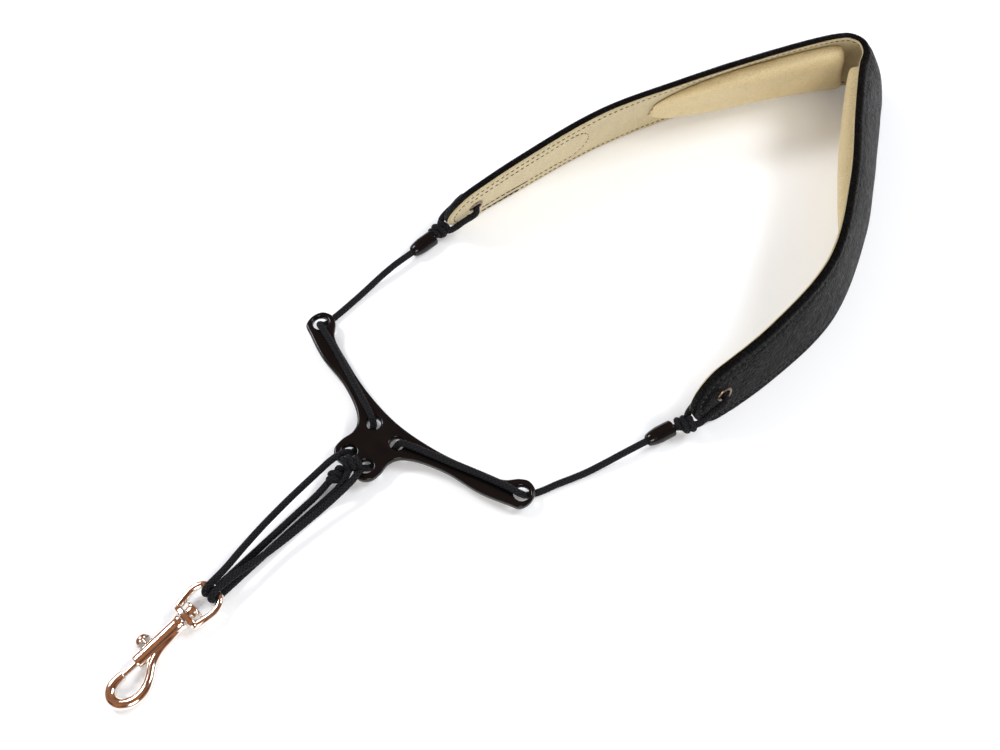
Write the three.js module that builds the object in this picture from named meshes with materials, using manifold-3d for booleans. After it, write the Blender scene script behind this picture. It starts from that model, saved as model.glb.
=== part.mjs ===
// Saxophone neck strap, laid out on a table: a padded leather band standing on its lower edge,
// two braided cords, a wing-shaped adjuster plate and a swivel snap hook.
// Millimetres, +Z up. The plate's centre holes lie on y = 0 while the strap is drawn, the hook is
// towards -Y and the band towards +Y; the whole group is then moved to its final origin.
import * as THREE from "three";
import { mergeVertices } from "three/addons/utils/BufferGeometryUtils.js";
import Module from "manifold-3d";

const wasm = await Module();
wasm.setup();

// ---------------------------------------------------------------- driving dimensions
const GAP = 0.3; // clearance between pieces that touch on the real strap

// neck band
const BAND_WIDTH = 44; // widest part, across the band
const TIP_ROUNDING = 13; // radius of the two rounded ends
const TIP_START = 0.6; // the ends are cut square this far in
const LEATHER = 1.35; // outer leather and lining, each
const CORE = 0.9; // felt core and webbing between them
const BAND_HALF = CORE / 2 + GAP + LEATHER; // half the band's thickness
const CORE_INSET = 2.5; // the core stops this far from the band's edges
const WEBBING_INSET = 5; // and the webbing this far
const WEBBING_END = 62; // the webbing's inner end, from the band's tip
const WEBBING_START = 5;
const BAND_STEP = 11; // spacing of the band's sections
const FOLD_STEP = 2.5; // and within FOLD_REACH of the fold
const FOLD_REACH = 22;
const BAND_ROWS = 6; // and spacing across the band
const BOW_LEFT = 5; // the padded part of each arm bellies out this far, half-way up
const BOW_RIGHT = 2.5;
const BOW_FOLD = 2; // and this far where the band turns back
const BOW_START = 70; // distances from the band's tips between which the belly grows
const BOW_FULL = 150;
const BOW_EASE = 30;

// cushions on the lining
const CUSHION_DEPTH = 10; // how far a cushion stands out of the lining
const CUSHION_LENGTH = 104;
const CUSHION_FROM_FOLD = 16; // distance from the fold at the back of the neck
const CUSHION_INSET = 3; // from the band's lower edge
const CUSHION_TOP_INSET = 7; // and from its upper edge
const CUSHION_SKIN = 1.1; // cover thickness
const CUSHION_TAPER = 44; // length over which the outer end dies away
const CUSHION_NARROWING = 5; // and what it loses along each edge by then

// eyelets in the band's ends
const EYELET_FROM_TIP = 14.5;
const EYELET_BORE = 2.4; // radii
const EYELET_BARREL = 2.8;
const EYELET_FLANGE = 3.6;
const EYELET_LIP = 0.5; // flange thickness
const EYELET_GAP = 0.35; // under the flange, as the band is slightly curved

// cords
const CORD = 2.8; // diameter
const CORD_SIDES = 8;

// adjuster plate
const PLATE_THICKNESS = 3;
const PLATE_RAISED = CORD + 0.5; // the cords that pass underneath lift it off the table
const PLATE_BEVEL = 0.7;
const TIP_HOLE_X = 57.5; // half the distance between the wing-tip holes
const TIP_HOLE_Y = 18;
const TIP_HOLE = 3.3; // radii of the holes
const CENTRE_HOLE_X = 6.65;
const CENTRE_HOLE = 2.9;
const TAIL_HOLE_X = 4.8;
const TAIL_HOLE_Y = -15.4;
const TAIL_HOLE = 2.9;
const HOLE_RIM = 2.6; // least metal left round a wing-tip hole

// cord sleeves
const SLEEVE_LENGTH = 11.8;
const SLEEVE_RADIUS = 3.5;
const SLEEVE_NOSE = 2.2; // radius of the tapered end
const SLEEVE_BORE = CORD / 2 + 0.35;
const SLEEVE_Z = SLEEVE_RADIUS + 0.1; // height of the sleeve's axis over the table

// snap hook, drawn along its own axis from the bar of its eye
const EYE_BAR_Y = -88.9; // where the cords go round the eye
const EYE_WIRE = 1.5; // radius of the eye's wire
const EYE_BAR_Z = CORD + 2 * GAP + EYE_WIRE - 0.15; // a cord passes under the bar
const HOOK_TILT = THREE.MathUtils.degToRad(2.3); // the hook's nose drops to the table
const EYE_HALF = 6.4; // half width of the eye, on the wire's centreline
const EYE_DROP = 13.4; // bar to the middle of the eye's base
const BASE_HALF = 6.3; // the eye's base: half width, half depth, thickness
const BASE_DEPTH = 2.9;
const BASE_THICK = 2.7;
const POST_RADIUS = 1.7; // swivel post
const POST_CLEARANCE = 0.3;
const POST_HEAD = 4.2; // half width of its head, which is flattened
const POST_HEAD_FLAT = 0.72;
const POST_HEAD_THICK = 1.2;
const POST_PLAY = 2.3; // free neck between the head and the base
const SHOULDER = 3.5; // radius of the hook's shoulder
const SHOULDER_LENGTH = 1.6;
const BARREL = 3; // radius of the barrel that holds the bolt
const BARREL_END = 37.5; // its open end, from the bar
const BOLT = 1.2; // radius of the spring bolt
const BOLT_BORE = BOLT + GAP;
const BOLT_OUT = 6.4; // how far the bolt stands out of the barrel
const BOLT_BACK = 27; // inner end of the bolt, from the bar
const BOLT_TRAVEL = 6.5;
const KNOB_FROM_BAR = 30.6;
const KNOB_RADIUS = 3.2;
const KNOB_STEM = 0.8;
const KNOB_OUT = 4.4; // knob's seat, from the bolt's axis
const HOOK_WIRE = 2.15; // radius of the hook's wire

// ---------------------------------------------------------------- materials
function material(color, roughness, metalness) {
  return new THREE.MeshStandardMaterial({ color, roughness, metalness });
}
const BLACK_LEATHER = [0x17181a, 0.55, 0];
const GOLD_LEATHER = [0xd9bf8c, 0.45, 0.1];
const FELT = [0x3a3a3a, 0.95, 0];
const FOAM = [0xe8e0cc, 0.95, 0];
const WEBBING = [0x202020, 0.9, 0];
const BRASS = [0xb08a4a, 0.3, 1];
const BRAID = [0x101012, 0.85, 0];
const BLACK_METAL = [0x0c0c0e, 0.2, 0.8];
const ROSE_GOLD = [0xd9a88c, 0.15, 1];
const STEEL = [0xb8b8b8, 0.3, 1];

// ---------------------------------------------------------------- helpers
const strap = new THREE.Group();

function add(name, geometry, finish, parent = strap) {
  const mesh = new THREE.Mesh(geometry, material(...finish));
  mesh.name = name;
  parent.add(mesh);
  return mesh;
}

// A geometry with shared vertices merged, as manifold-3d needs it.
function bare(geometry) {
  const copy = geometry.clone();
  copy.deleteAttribute("normal");
  copy.deleteAttribute("uv");
  return mergeVertices(copy, 1e-4);
}

function solid(geometry) {
  const merged = bare(geometry);
  return new wasm.Manifold(
    new wasm.Mesh({
      numProp: 3,
      vertProperties: new Float32Array(merged.attributes.position.array),
      triVerts: new Uint32Array(merged.index.array),
    }),
  );
}

function toGeometry(made) {
  const mesh = made.getMesh();
  const geometry = new THREE.BufferGeometry();
  geometry.setAttribute("position", new THREE.BufferAttribute(mesh.vertProperties, 3));
  geometry.setIndex(new THREE.BufferAttribute(mesh.triVerts, 1));
  geometry.computeVertexNormals();
  return geometry;
}

// A round bar between two points.
function rod(from, to, radius, sides = 20, radiusTo = radius) {
  const along = to.clone().sub(from);
  const turn = new THREE.Quaternion().setFromUnitVectors(
    new THREE.Vector3(0, 1, 0),
    along.clone().normalize(),
  );
  const geometry = new THREE.CylinderGeometry(radiusTo, radius, along.length(), sides);
  geometry.applyQuaternion(turn);
  const middle = from.clone().add(to).multiplyScalar(0.5);
  geometry.translate(middle.x, middle.y, middle.z);
  return geometry;
}

// A round section swept along a curve, with flat ends.
function sweep(curve, radius, steps, sides) {
  const ring = [];
  for (let i = 0; i < sides; i += 1) {
    const angle = (2 * Math.PI * i) / sides;
    ring.push(new THREE.Vector2(radius * Math.cos(angle), radius * Math.sin(angle)));
  }
  return new THREE.ExtrudeGeometry(new THREE.Shape(ring), {
    steps,
    extrudePath: curve,
    bevelEnabled: false,
  });
}

function smooth(points) {
  const through = points.map((p) => new THREE.Vector3(...p));
  return new THREE.CatmullRomCurve3(through, false, "centripetal");
}

// A cord through hand-chosen points, with the same step along its whole length.
function cord(name, points, step) {
  const curve = smooth(points);
  const steps = Math.max(4, Math.round(curve.getLength() / step));
  add(name, sweep(curve, CORD / 2, steps, CORD_SIDES), BRAID);
}

// ---------------------------------------------------------------- the band's surface
// Sections of the band from the left tip round to the right tip: x and y of the lower edge, how
// far the upper edge leans (x, y), and the width as a share of BAND_WIDTH.
const SECTIONS = [
  [-56.5, 90.5, 6.7, -1.6, 0.59],
  [-49.4, 127.0, 6.8, -1.2, 0.7],
  [-40.2, 170.0, 8.7, -2.4, 0.82],
  [-27.8, 205.0, 12.1, -5.5, 0.93],
  [-9.8, 241.0, 12.3, -6.9, 1],
  [7.0, 265.0, 8.6, -6.6, 1],
  [21.0, 283.5, 0.4, -14.0, 1],
  [28.8, 292.0, -4.7, -18.8, 1.03],
  [34.6, 294.2, -5.8, -20.0, 1.04],
  [39.6, 289.6, -5.5, -19.1, 1.03],
  [51.5, 270.5, -13.8, -8.1, 1],
  [65.0, 247.0, -13.9, -7.4, 1],
  [84.0, 210.5, -11.8, -5.5, 1],
  [96.7, 168.8, -7.8, -1.1, 0.91],
  [95.4, 128.3, -5.8, 0.7, 0.77],
  [89.6, 98.0, -4.6, 1.6, 0.66],
  [85.5, 88.0, -2.6, 1.1, 0.59],
];

const lowerEdge = smooth(SECTIONS.map(([x, y]) => [x, y, 0]));
const upperEdge = smooth(
  SECTIONS.map(([x, y, leanX, leanY, share]) => {
    const grown = BAND_WIDTH / 44;
    const lean = [leanX * grown, leanY * grown];
    const width = BAND_WIDTH * share;
    return [x + lean[0], y + lean[1], Math.sqrt(width ** 2 - lean[0] ** 2 - lean[1] ** 2)];
  }),
);
lowerEdge.arcLengthDivisions = 600;
const BAND_LENGTH = lowerEdge.getLength();

// The section where the band turns most sharply lies behind the neck.
const FOLD_SECTION = 8;
const foldAt = (() => {
  const lengths = lowerEdge.getLengths();
  return lengths[Math.round((FOLD_SECTION / (SECTIONS.length - 1)) * (lengths.length - 1))];
})();

// A point of the band: distance from the left tip, height share from the lower edge, and
// distance outwards from the middle of its thickness.
function bandPoint(distance, share, outwards) {
  const t = lowerEdge.getUtoTmapping(0, distance);
  const low = lowerEdge.getPoint(t);
  const high = upperEdge.getPoint(t);
  const normal = bandNormal(distance, share);
  const bow = bowAt(distance) * 4 * share * (1 - share);
  return low.lerp(high, share).addScaledVector(normal, outwards + bow);
}

// How far the band bellies out half-way up, at a distance from the left tip.
function bowAt(distance) {
  const { smoothstep, lerp } = THREE.MathUtils;
  const fromTip = Math.min(distance, BAND_LENGTH - distance);
  const grown = smoothstep(fromTip, BOW_START, BOW_FULL);
  const turned = smoothstep(Math.abs(distance - foldAt), 0, BOW_EASE);
  const most = distance < foldAt ? BOW_LEFT : BOW_RIGHT;
  return grown * lerp(BOW_FOLD, most, turned);
}

function bandNormal(distance, share) {
  const t = lowerEdge.getUtoTmapping(0, distance);
  const along = lowerEdge.getTangent(t).lerp(upperEdge.getTangent(t), share);
  return new THREE.Vector3(-along.y, along.x, 0).normalize();
}

// The direction straight out of the band's face, which leans with the band.
function faceNormal(distance) {
  const t = lowerEdge.getUtoTmapping(0, distance);
  const along = lowerEdge.getTangent(t);
  const across = upperEdge.getPoint(t).sub(lowerEdge.getPoint(t));
  return across.cross(along).normalize();
}

function bandWidth(distance) {
  const t = lowerEdge.getUtoTmapping(0, distance);
  return lowerEdge.getPoint(t).distanceTo(upperEdge.getPoint(t));
}

// Half the height share that the rounded ends leave at a distance from the left tip.
function roundedHalf(distance, inset) {
  const fromTip = Math.min(distance, BAND_LENGTH - distance) - inset;
  const radius = TIP_ROUNDING - inset;
  const full = 0.5 - inset / bandWidth(distance);
  if (fromTip >= radius) return full;
  const down = (radius - Math.max(fromTip, TIP_START)) / radius;
  return full * Math.sqrt(1 - down ** 2);
}

// Distances at which every layer of the band is cut into sections: close together in the rounded
// ends and at the fold, and BAND_STEP apart elsewhere.
const CUTS = (() => {
  const list = [TIP_START];
  const last = BAND_LENGTH - TIP_START;
  while (list[list.length - 1] < last) {
    const here = list[list.length - 1];
    const nearEnd = Math.min(here, BAND_LENGTH - here - BAND_STEP) < TIP_ROUNDING;
    const nearFold = Math.abs(here - foldAt) < FOLD_REACH;
    let step = BAND_STEP;
    if (nearEnd) step = 2.4;
    if (nearFold) step = FOLD_STEP;
    list.push(Math.min(here + step, last));
  }
  return list;
})();

function cutsBetween(from, to) {
  return [from, ...CUTS.filter((cut) => cut > from + 0.4 && cut < to - 0.4), to];
}

// A piece of the band, bent out of a box: one layer of its thickness between two distances.
function bandLayer(from, to, inner, outer, inset) {
  const cuts = cutsBetween(from, to);
  const box = new THREE.BoxGeometry(1, 1, 1, cuts.length - 1, BAND_ROWS, 1);
  const position = box.getAttribute("position");
  for (let i = 0; i < position.count; i += 1) {
    const cut = Math.round((position.getX(i) + 0.5) * (cuts.length - 1));
    const distance = cuts[cut];
    const half = roundedHalf(distance, inset);
    const share = 0.5 + 2 * half * position.getY(i);
    const depth = outer + (inner - outer) * (position.getZ(i) + 0.5);
    const point = bandPoint(distance, share, depth);
    position.setXYZ(i, point.x, point.y, point.z);
  }
  return box;
}

// The holes for both eyelets, through the whole band.
function eyeletDistances() {
  return [EYELET_FROM_TIP, BAND_LENGTH - EYELET_FROM_TIP];
}

function eyeletHoles(layer) {
  let made = solid(layer);
  for (const distance of eyeletDistances()) {
    const centre = bandPoint(distance, 0.5, 0);
    const reach = faceNormal(distance).multiplyScalar(3 * BAND_HALF);
    const from = centre.clone().sub(reach);
    made = made.subtract(solid(rod(from, centre.add(reach), EYELET_BARREL + GAP, 14)));
  }
  return toGeometry(made);
}

function makeBand() {
  const skin = CORE / 2 + GAP;
  const start = TIP_START;
  const end = BAND_LENGTH - TIP_START;
  add("outer_leather", eyeletHoles(bandLayer(start, end, skin, BAND_HALF, 0)), BLACK_LEATHER);
  add("lining", eyeletHoles(bandLayer(start, end, -BAND_HALF, -skin, 0)), GOLD_LEATHER);

  const coreStart = WEBBING_END + 2 * GAP;
  const core = bandLayer(coreStart, BAND_LENGTH - coreStart, -CORE / 2, CORE / 2, CORE_INSET);
  add("felt_core", core, FELT);

  const ends = [
    ["left", WEBBING_START, WEBBING_END],
    ["right", BAND_LENGTH - WEBBING_END, BAND_LENGTH - WEBBING_START],
  ];
  for (const [side, from, to] of ends) {
    const webbing = bandLayer(from, to, -CORE / 2, CORE / 2, WEBBING_INSET);
    add(`${side}_webbing`, eyeletHoles(webbing), WEBBING);
  }
}

// ---------------------------------------------------------------- cushions
// From 0 at a cushion's outer tip to 1 where it is at its full depth.
function fromCushionTip(fromFold) {
  return Math.min(1, (CUSHION_LENGTH - fromFold) / CUSHION_TAPER);
}

// How far a cushion stands out at a share of its length from the fold and of its height.
function bulge(fromFold, share, depth) {
  const toTip = fromCushionTip(fromFold);
  const across = 1 - Math.abs(2 * share - 1) ** 3;
  return depth * toTip * (2 - toTip) * across;
}

// A cushion-shaped block on the inner face of the band. Its back stays flat against the lining.
function cushionBlock(side, shrink, back) {
  const near = foldAt + side * (CUSHION_FROM_FOLD + shrink);
  const far = foldAt + side * (CUSHION_FROM_FOLD + CUSHION_LENGTH - shrink);
  const cuts = cutsBetween(Math.min(near, far), Math.max(near, far));
  const box = new THREE.BoxGeometry(1, 1, 1, cuts.length - 1, BAND_ROWS, 1);
  const position = box.getAttribute("position");
  for (let i = 0; i < position.count; i += 1) {
    const distance = cuts[Math.round((position.getX(i) + 0.5) * (cuts.length - 1))];
    const fromFold = Math.abs(distance - foldAt) - CUSHION_FROM_FOLD;
    const narrowed = CUSHION_NARROWING * (1 - fromCushionTip(fromFold)) ** 2;
    const low = (CUSHION_INSET + narrowed + shrink) / bandWidth(distance);
    const high = 1 - (CUSHION_TOP_INSET + narrowed + shrink) / bandWidth(distance);
    const share = low + (high - low) * (position.getY(i) + 0.5);
    const least = 1.6;
    const out = least + bulge(fromFold, position.getY(i) + 0.5, CUSHION_DEPTH - least) - shrink;
    const depth = position.getZ(i) > 0 ? -(BAND_HALF + Math.max(out, 0.4)) : -(BAND_HALF + back);
    const point = bandPoint(distance, share, depth);
    position.setXYZ(i, point.x, point.y, point.z);
  }
  return box;
}

function makeCushion(name, side) {
  const outside = solid(cushionBlock(side, 0, GAP));
  const hollow = solid(cushionBlock(side, CUSHION_SKIN, -BAND_HALF));
  add(`${name}_cushion_cover`, toGeometry(outside.subtract(hollow)), GOLD_LEATHER);
  add(`${name}_cushion_foam`, cushionBlock(side, CUSHION_SKIN + GAP, GAP), FOAM);
}

// ---------------------------------------------------------------- eyelets
function makeEyelet(side, distance) {
  const outwards = faceNormal(distance);
  const centre = bandPoint(distance, 0.5, 0);
  const at = (offset) => centre.clone().addScaledVector(outwards, offset);
  const face = BAND_HALF + EYELET_GAP;
  const barrelEnd = -(face + EYELET_LIP);
  const flange = solid(rod(at(face), at(face + EYELET_LIP), EYELET_FLANGE, 14));
  const barrel = solid(rod(at(barrelEnd), at(face + EYELET_LIP / 2), EYELET_BARREL, 14));
  const bore = solid(rod(at(-2 * face), at(2 * face), EYELET_BORE, 14));
  add(`${side}_eyelet`, toGeometry(flange.add(barrel).subtract(bore)), BRASS);

  const washer = solid(rod(at(-face), at(barrelEnd), EYELET_FLANGE, 14));
  const hole = solid(rod(at(-2 * face), at(2 * face), EYELET_BARREL + GAP / 2, 14));
  add(`${side}_eyelet_washer`, toGeometry(washer.subtract(hole)), BRASS);
}

// ---------------------------------------------------------------- cord sleeves and knots
// A bullet-shaped sleeve, drawn along +Y from its nose, with the cord's bore through it.
function sleeveGeometry() {
  const nose = SLEEVE_RADIUS - SLEEVE_NOSE;
  const profile = [
    [SLEEVE_BORE, 0],
    [SLEEVE_NOSE, 0],
    [SLEEVE_NOSE + 0.6 * nose, 1.6],
    [SLEEVE_RADIUS, 5],
    [SLEEVE_RADIUS, SLEEVE_LENGTH - 0.4],
    [SLEEVE_RADIUS - 0.4, SLEEVE_LENGTH],
    [SLEEVE_BORE, SLEEVE_LENGTH],
    [SLEEVE_BORE, 0],
  ];
  return new THREE.LatheGeometry(profile.map(([r, y]) => new THREE.Vector2(r, y)), 16);
}

function makeSleeve(name, noseX, noseY, turn) {
  const sleeve = add(name, sleeveGeometry(), BLACK_METAL);
  sleeve.position.set(noseX, noseY, SLEEVE_Z);
  sleeve.rotation.z = turn;
}

function makeKnot(name, centre, radii) {
  const knot = new THREE.SphereGeometry(1, 10, 7);
  knot.scale(...radii);
  add(name, knot, BRAID).position.set(...centre);
}

// ---------------------------------------------------------------- adjuster plate
// Right half of the outline, from the middle of the upper edge round to the tail.
function plateOutline() {
  const tip = TIP_HOLE + HOLE_RIM;
  const x = TIP_HOLE_X;
  const y = TIP_HOLE_Y;
  const upper = [
    [0, 6.4],
    [0.33 * x, 8.4],
    [0.62 * x, 12.8],
    [0.84 * x, y - 0.6],
    [x - 4.6, y + 4.2],
  ];
  const wingTip = [
    [x - 1.2, y + tip],
    [x + 3.2, y + 0.75 * tip],
    [x + 0.85 * tip, y],
    [x + 0.62 * tip, y - 0.82 * tip],
    [x - 1, y - tip - 1],
  ];
  const lower = [
    [0.78 * x, 7],
    [0.5 * x, 4.2],
    [0.28 * x, -0.8],
    [11.6, -4.6],
    [10.2, -8.4],
  ];
  const tail = [
    [10.9, -13.5],
    [10.2, -18.2],
    [7.4, -20.8],
    [4, -20.9],
    [1.6, -19.8],
  ];
  return [...upper, ...wingTip, ...lower, ...tail];
}

function makePlate() {
  const half = plateOutline();
  const mirrored = half.slice(1).reverse();
  const all = [...half, ...mirrored.map(([x, y]) => [-x, y])];
  const loop = new THREE.CatmullRomCurve3(
    all.map(([x, y]) => new THREE.Vector3(x, y, 0)),
    true,
    "centripetal",
  );
  const outline = new THREE.Shape(
    loop.getPoints(Math.round(all.length * 1.4)).slice(0, -1).map((p) => new THREE.Vector2(p.x, p.y)),
  );
  const holes = [
    [TIP_HOLE_X, TIP_HOLE_Y, TIP_HOLE],
    [CENTRE_HOLE_X, 0, CENTRE_HOLE],
    [TAIL_HOLE_X, TAIL_HOLE_Y, TAIL_HOLE],
  ];
  for (const [x, y, radius] of holes) {
    for (const side of [-1, 1]) {
      const hole = new THREE.Path();
      hole.absarc(side * x, y, radius, 0, 2 * Math.PI, false);
      outline.holes.push(hole);
    }
  }
  const plate = new THREE.ExtrudeGeometry(outline, {
    depth: PLATE_THICKNESS - 2 * PLATE_BEVEL,
    bevelThickness: PLATE_BEVEL,
    bevelSize: PLATE_BEVEL,
    bevelOffset: -PLATE_BEVEL,
    bevelSegments: 1,
    curveSegments: 6,
    steps: 1,
  });
  const mesh = add("adjuster_plate", plate, BLACK_METAL);
  mesh.position.z = PLATE_RAISED + PLATE_BEVEL;
}

// ---------------------------------------------------------------- snap hook
// The hook's own frame: the eye's bar lies on the origin along X, and the hook runs along -Y.
const down = (distance) => new THREE.Vector3(0, -distance, 0);

function makeEye(parent) {
  const half = EYE_HALF;
  const legs = smooth([
    [-0.82 * half, -EYE_DROP, 0],
    [-0.94 * half, -0.72 * EYE_DROP, 0],
    [-half, -0.4 * EYE_DROP, 0],
    [-0.72 * half, -0.1 * EYE_DROP, 0],
    [0, 0, 0],
    [0.72 * half, -0.1 * EYE_DROP, 0],
    [half, -0.4 * EYE_DROP, 0],
    [0.94 * half, -0.72 * EYE_DROP, 0],
    [0.82 * half, -EYE_DROP, 0],
  ]);
  const wire = solid(sweep(legs, EYE_WIRE, 18, 8));
  const base = new THREE.CylinderGeometry(1, 0.84, BASE_THICK, 24);
  base.scale(BASE_HALF, 1, BASE_DEPTH);
  base.translate(0, -EYE_DROP - BASE_THICK / 2 + 0.6, 0);
  const bore = rod(down(EYE_DROP - 4), down(EYE_DROP + 6), POST_RADIUS + POST_CLEARANCE, 20);
  add("swivel_eye", toGeometry(wire.add(solid(base)).subtract(solid(bore))), ROSE_GOLD, parent);
}

const BASE_TOP = EYE_DROP - 0.6;
const SHOULDER_TOP = BASE_TOP + BASE_THICK + GAP;

function makePost(parent) {
  const headTop = BASE_TOP - POST_PLAY - POST_HEAD_THICK;
  const disc = rod(down(headTop), down(headTop + POST_HEAD_THICK), POST_HEAD, 20);
  const head = solid(disc.scale(1, 1, POST_HEAD_FLAT));
  const neck = solid(rod(down(headTop + 0.4), down(SHOULDER_TOP - GAP), POST_RADIUS, 20));
  const collar = solid(
    rod(down(headTop + POST_HEAD_THICK - 0.2), down(BASE_TOP - GAP), POST_RADIUS + 1.1, 20),
  );
  add("swivel_post", toGeometry(head.add(neck).add(collar)), ROSE_GOLD, parent);
}

// Centreline of the hook's open loop, from the barrel's side round the nose to its tip.
const HOOK_LOOP = [
  [0.9, -23.5, 0],
  [1.6, -28.5, 0],
  [3.8, -33.5, 0],
  [7.8, -37.6, 0],
  [10.3, -42.2, 0],
  [9.9, -47.2, 0],
  [6.9, -51.0, 0],
  [3.2, -51.6, 0],
  [0.5, -49.4, 0],
  [-0.3, -46.4, 0],
  [-0.2, -43.3, 0],
];

function makeHookBody(parent) {
  const shoulderEnd = SHOULDER_TOP + SHOULDER_LENGTH;
  const shoulder = solid(rod(down(SHOULDER_TOP), down(shoulderEnd), SHOULDER, 16));
  const cone = solid(rod(down(shoulderEnd - 0.2), down(shoulderEnd + 2), SHOULDER, 16, BARREL));
  const barrel = solid(rod(down(shoulderEnd), down(BARREL_END), BARREL, 16));
  const loop = solid(sweep(smooth(HOOK_LOOP), HOOK_WIRE, 15, 10));
  const bore = solid(rod(down(BOLT_BACK - 7), down(BARREL_END + 5), BOLT_BORE, 12));
  const slotWidth = 2 * (KNOB_STEM + GAP);
  const slotLength = BOLT_TRAVEL + slotWidth;
  const slot = new THREE.BoxGeometry(2 * BARREL, slotLength, slotWidth);
  slot.translate(-BARREL, -KNOB_FROM_BAR + BOLT_TRAVEL / 2, 0);
  const tipCut = solid(rod(down(BARREL_END + 1), down(tipReach() + GAP), BOLT_BORE, 12));
  const body = shoulder.add(cone).add(barrel).add(loop).subtract(bore).subtract(solid(slot));
  add("hook_body", toGeometry(body.subtract(tipCut)), ROSE_GOLD, parent);
}

const tipReach = () => BARREL_END + BOLT_OUT;

function makeBolt(parent) {
  const bolt = solid(rod(down(BOLT_BACK), down(tipReach()), BOLT, 12));
  const stemStart = new THREE.Vector3(0, -KNOB_FROM_BAR, 0);
  const stemEnd = new THREE.Vector3(-KNOB_OUT - 0.4, -KNOB_FROM_BAR, 0);
  const stem = solid(rod(stemStart, stemEnd, KNOB_STEM, 12));
  add("plunger_bolt", toGeometry(bolt.add(stem)), ROSE_GOLD, parent);

  const seat = KNOB_OUT;
  const profile = [
    [0, seat + 2.9],
    [0.5 * KNOB_RADIUS, seat + 2.7],
    [0.82 * KNOB_RADIUS, seat + 2],
    [KNOB_RADIUS, seat + 0.9],
    [KNOB_RADIUS, seat - 0.3],
    [KNOB_STEM + GAP / 2, seat - 0.3],
    [KNOB_STEM + GAP / 2, seat + 0.9],
    [0, seat + 0.9],
  ];
  const knob = new THREE.LatheGeometry(
    profile.reverse().map(([r, y]) => new THREE.Vector2(r, y)),
    14,
  );
  knob.rotateZ(Math.PI / 2);
  knob.translate(0, -KNOB_FROM_BAR, 0);
  add("thumb_knob", knob, ROSE_GOLD, parent);
}

function makeSpring(parent) {
  const turns = 5;
  const wire = 0.25;
  const from = BOLT_BACK - GAP - wire;
  const to = BOLT_BACK - 7 + GAP + wire;
  class Helix extends THREE.Curve {
    getPoint(t, target = new THREE.Vector3()) {
      const angle = 2 * Math.PI * turns * t;
      const radius = BOLT_BORE - GAP - wire;
      const along = from + (to - from) * t;
      return target.set(radius * Math.cos(angle), -along, radius * Math.sin(angle));
    }
  }
  add("plunger_spring", sweep(new Helix(), wire, turns * 8, 4), STEEL, parent);
}

function makeHook() {
  const hook = new THREE.Group();
  hook.position.set(0, EYE_BAR_Y, EYE_BAR_Z);
  hook.rotation.x = HOOK_TILT;
  strap.add(hook);
  makeEye(hook);
  makePost(hook);
  makeHookBody(hook);
  makeBolt(hook);
  makeSpring(hook);
}

// ---------------------------------------------------------------- cord routes
// Each side's cord in the order it runs: a loop through the band's eyelet, the stretch from the
// sleeve to the plate, the stretch through the plate's holes, and the loop round the hook's eye.

// The eyelet loop in the eyelet's frame: towards the band's tip, out of its face, and upwards.
const LOOP_OUT = BAND_HALF + EYELET_GAP + EYELET_LIP + CORD / 2 + GAP;
const HALF_EYELET_LOOP = [
  [13.9, LOOP_OUT - 1.2, -8.7],
  [11.2, LOOP_OUT + 0.3, -7.2],
  [7.6, LOOP_OUT + 0.2, -4.8],
  [4.2, LOOP_OUT + 0.4, -2.4],
  [1.7, LOOP_OUT + 0.1, -0.9],
  [0.3, 0.6 * LOOP_OUT, 0],
];
const EYELET_LOOP = [
  ...HALF_EYELET_LOOP,
  [0, 0, 0],
  ...HALF_EYELET_LOOP.map(([tip, out, up]) => [tip, -out, up]).reverse(),
];
const PAD_KNOT_AT = [17.3, -0.3, -9.2];

function eyeletFrame(distance) {
  const out = faceNormal(distance);
  const tip = lowerEdge.getTangent(lowerEdge.getUtoTmapping(0, distance));
  if (distance < foldAt) tip.negate();
  const up = new THREE.Vector3(0, 0, 1).addScaledVector(out, -out.z).normalize();
  return new THREE.Matrix4().makeBasis(tip, out, up).setPosition(bandPoint(distance, 0.5, 0));
}

function inEyeletFrame(distance, points) {
  const frame = eyeletFrame(distance);
  return points.map((p) => new THREE.Vector3(...p).applyMatrix4(frame).toArray());
}

// Heights of a cord that lies on the table, and of one that lies on top of the plate.
const UNDER = CORD / 2 + 0.1;
const OVER = PLATE_RAISED + PLATE_THICKNESS + GAP + CORD / 2;

const LEFT_PAD_CORD = [
  [-55.4, 83, SLEEVE_Z],
  [-56.3, 72, SLEEVE_Z],
  [-57.2, 61, SLEEVE_Z],
  [-57.6, 53, UNDER + 1.3],
  [-57.7, 45, UNDER + 0.3],
  [-TIP_HOLE_X - 0.1, 38, UNDER],
  [-TIP_HOLE_X, 31, UNDER],
  [-TIP_HOLE_X, TIP_HOLE_Y + 7.6, UNDER],
];
const RIGHT_PAD_CORD = [
  [81.6, 81, SLEEVE_Z],
  [78.3, 70.6, SLEEVE_Z],
  [74.9, 59.9, SLEEVE_Z],
  [72.2, 52, UNDER + 1.3],
  [69.2, 44, UNDER + 0.3],
  [TIP_HOLE_X + 9.1, 38, UNDER],
  [TIP_HOLE_X + 6.4, 32, UNDER],
  [TIP_HOLE_X + 3.9, TIP_HOLE_Y + 7.8, UNDER],
];

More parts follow.
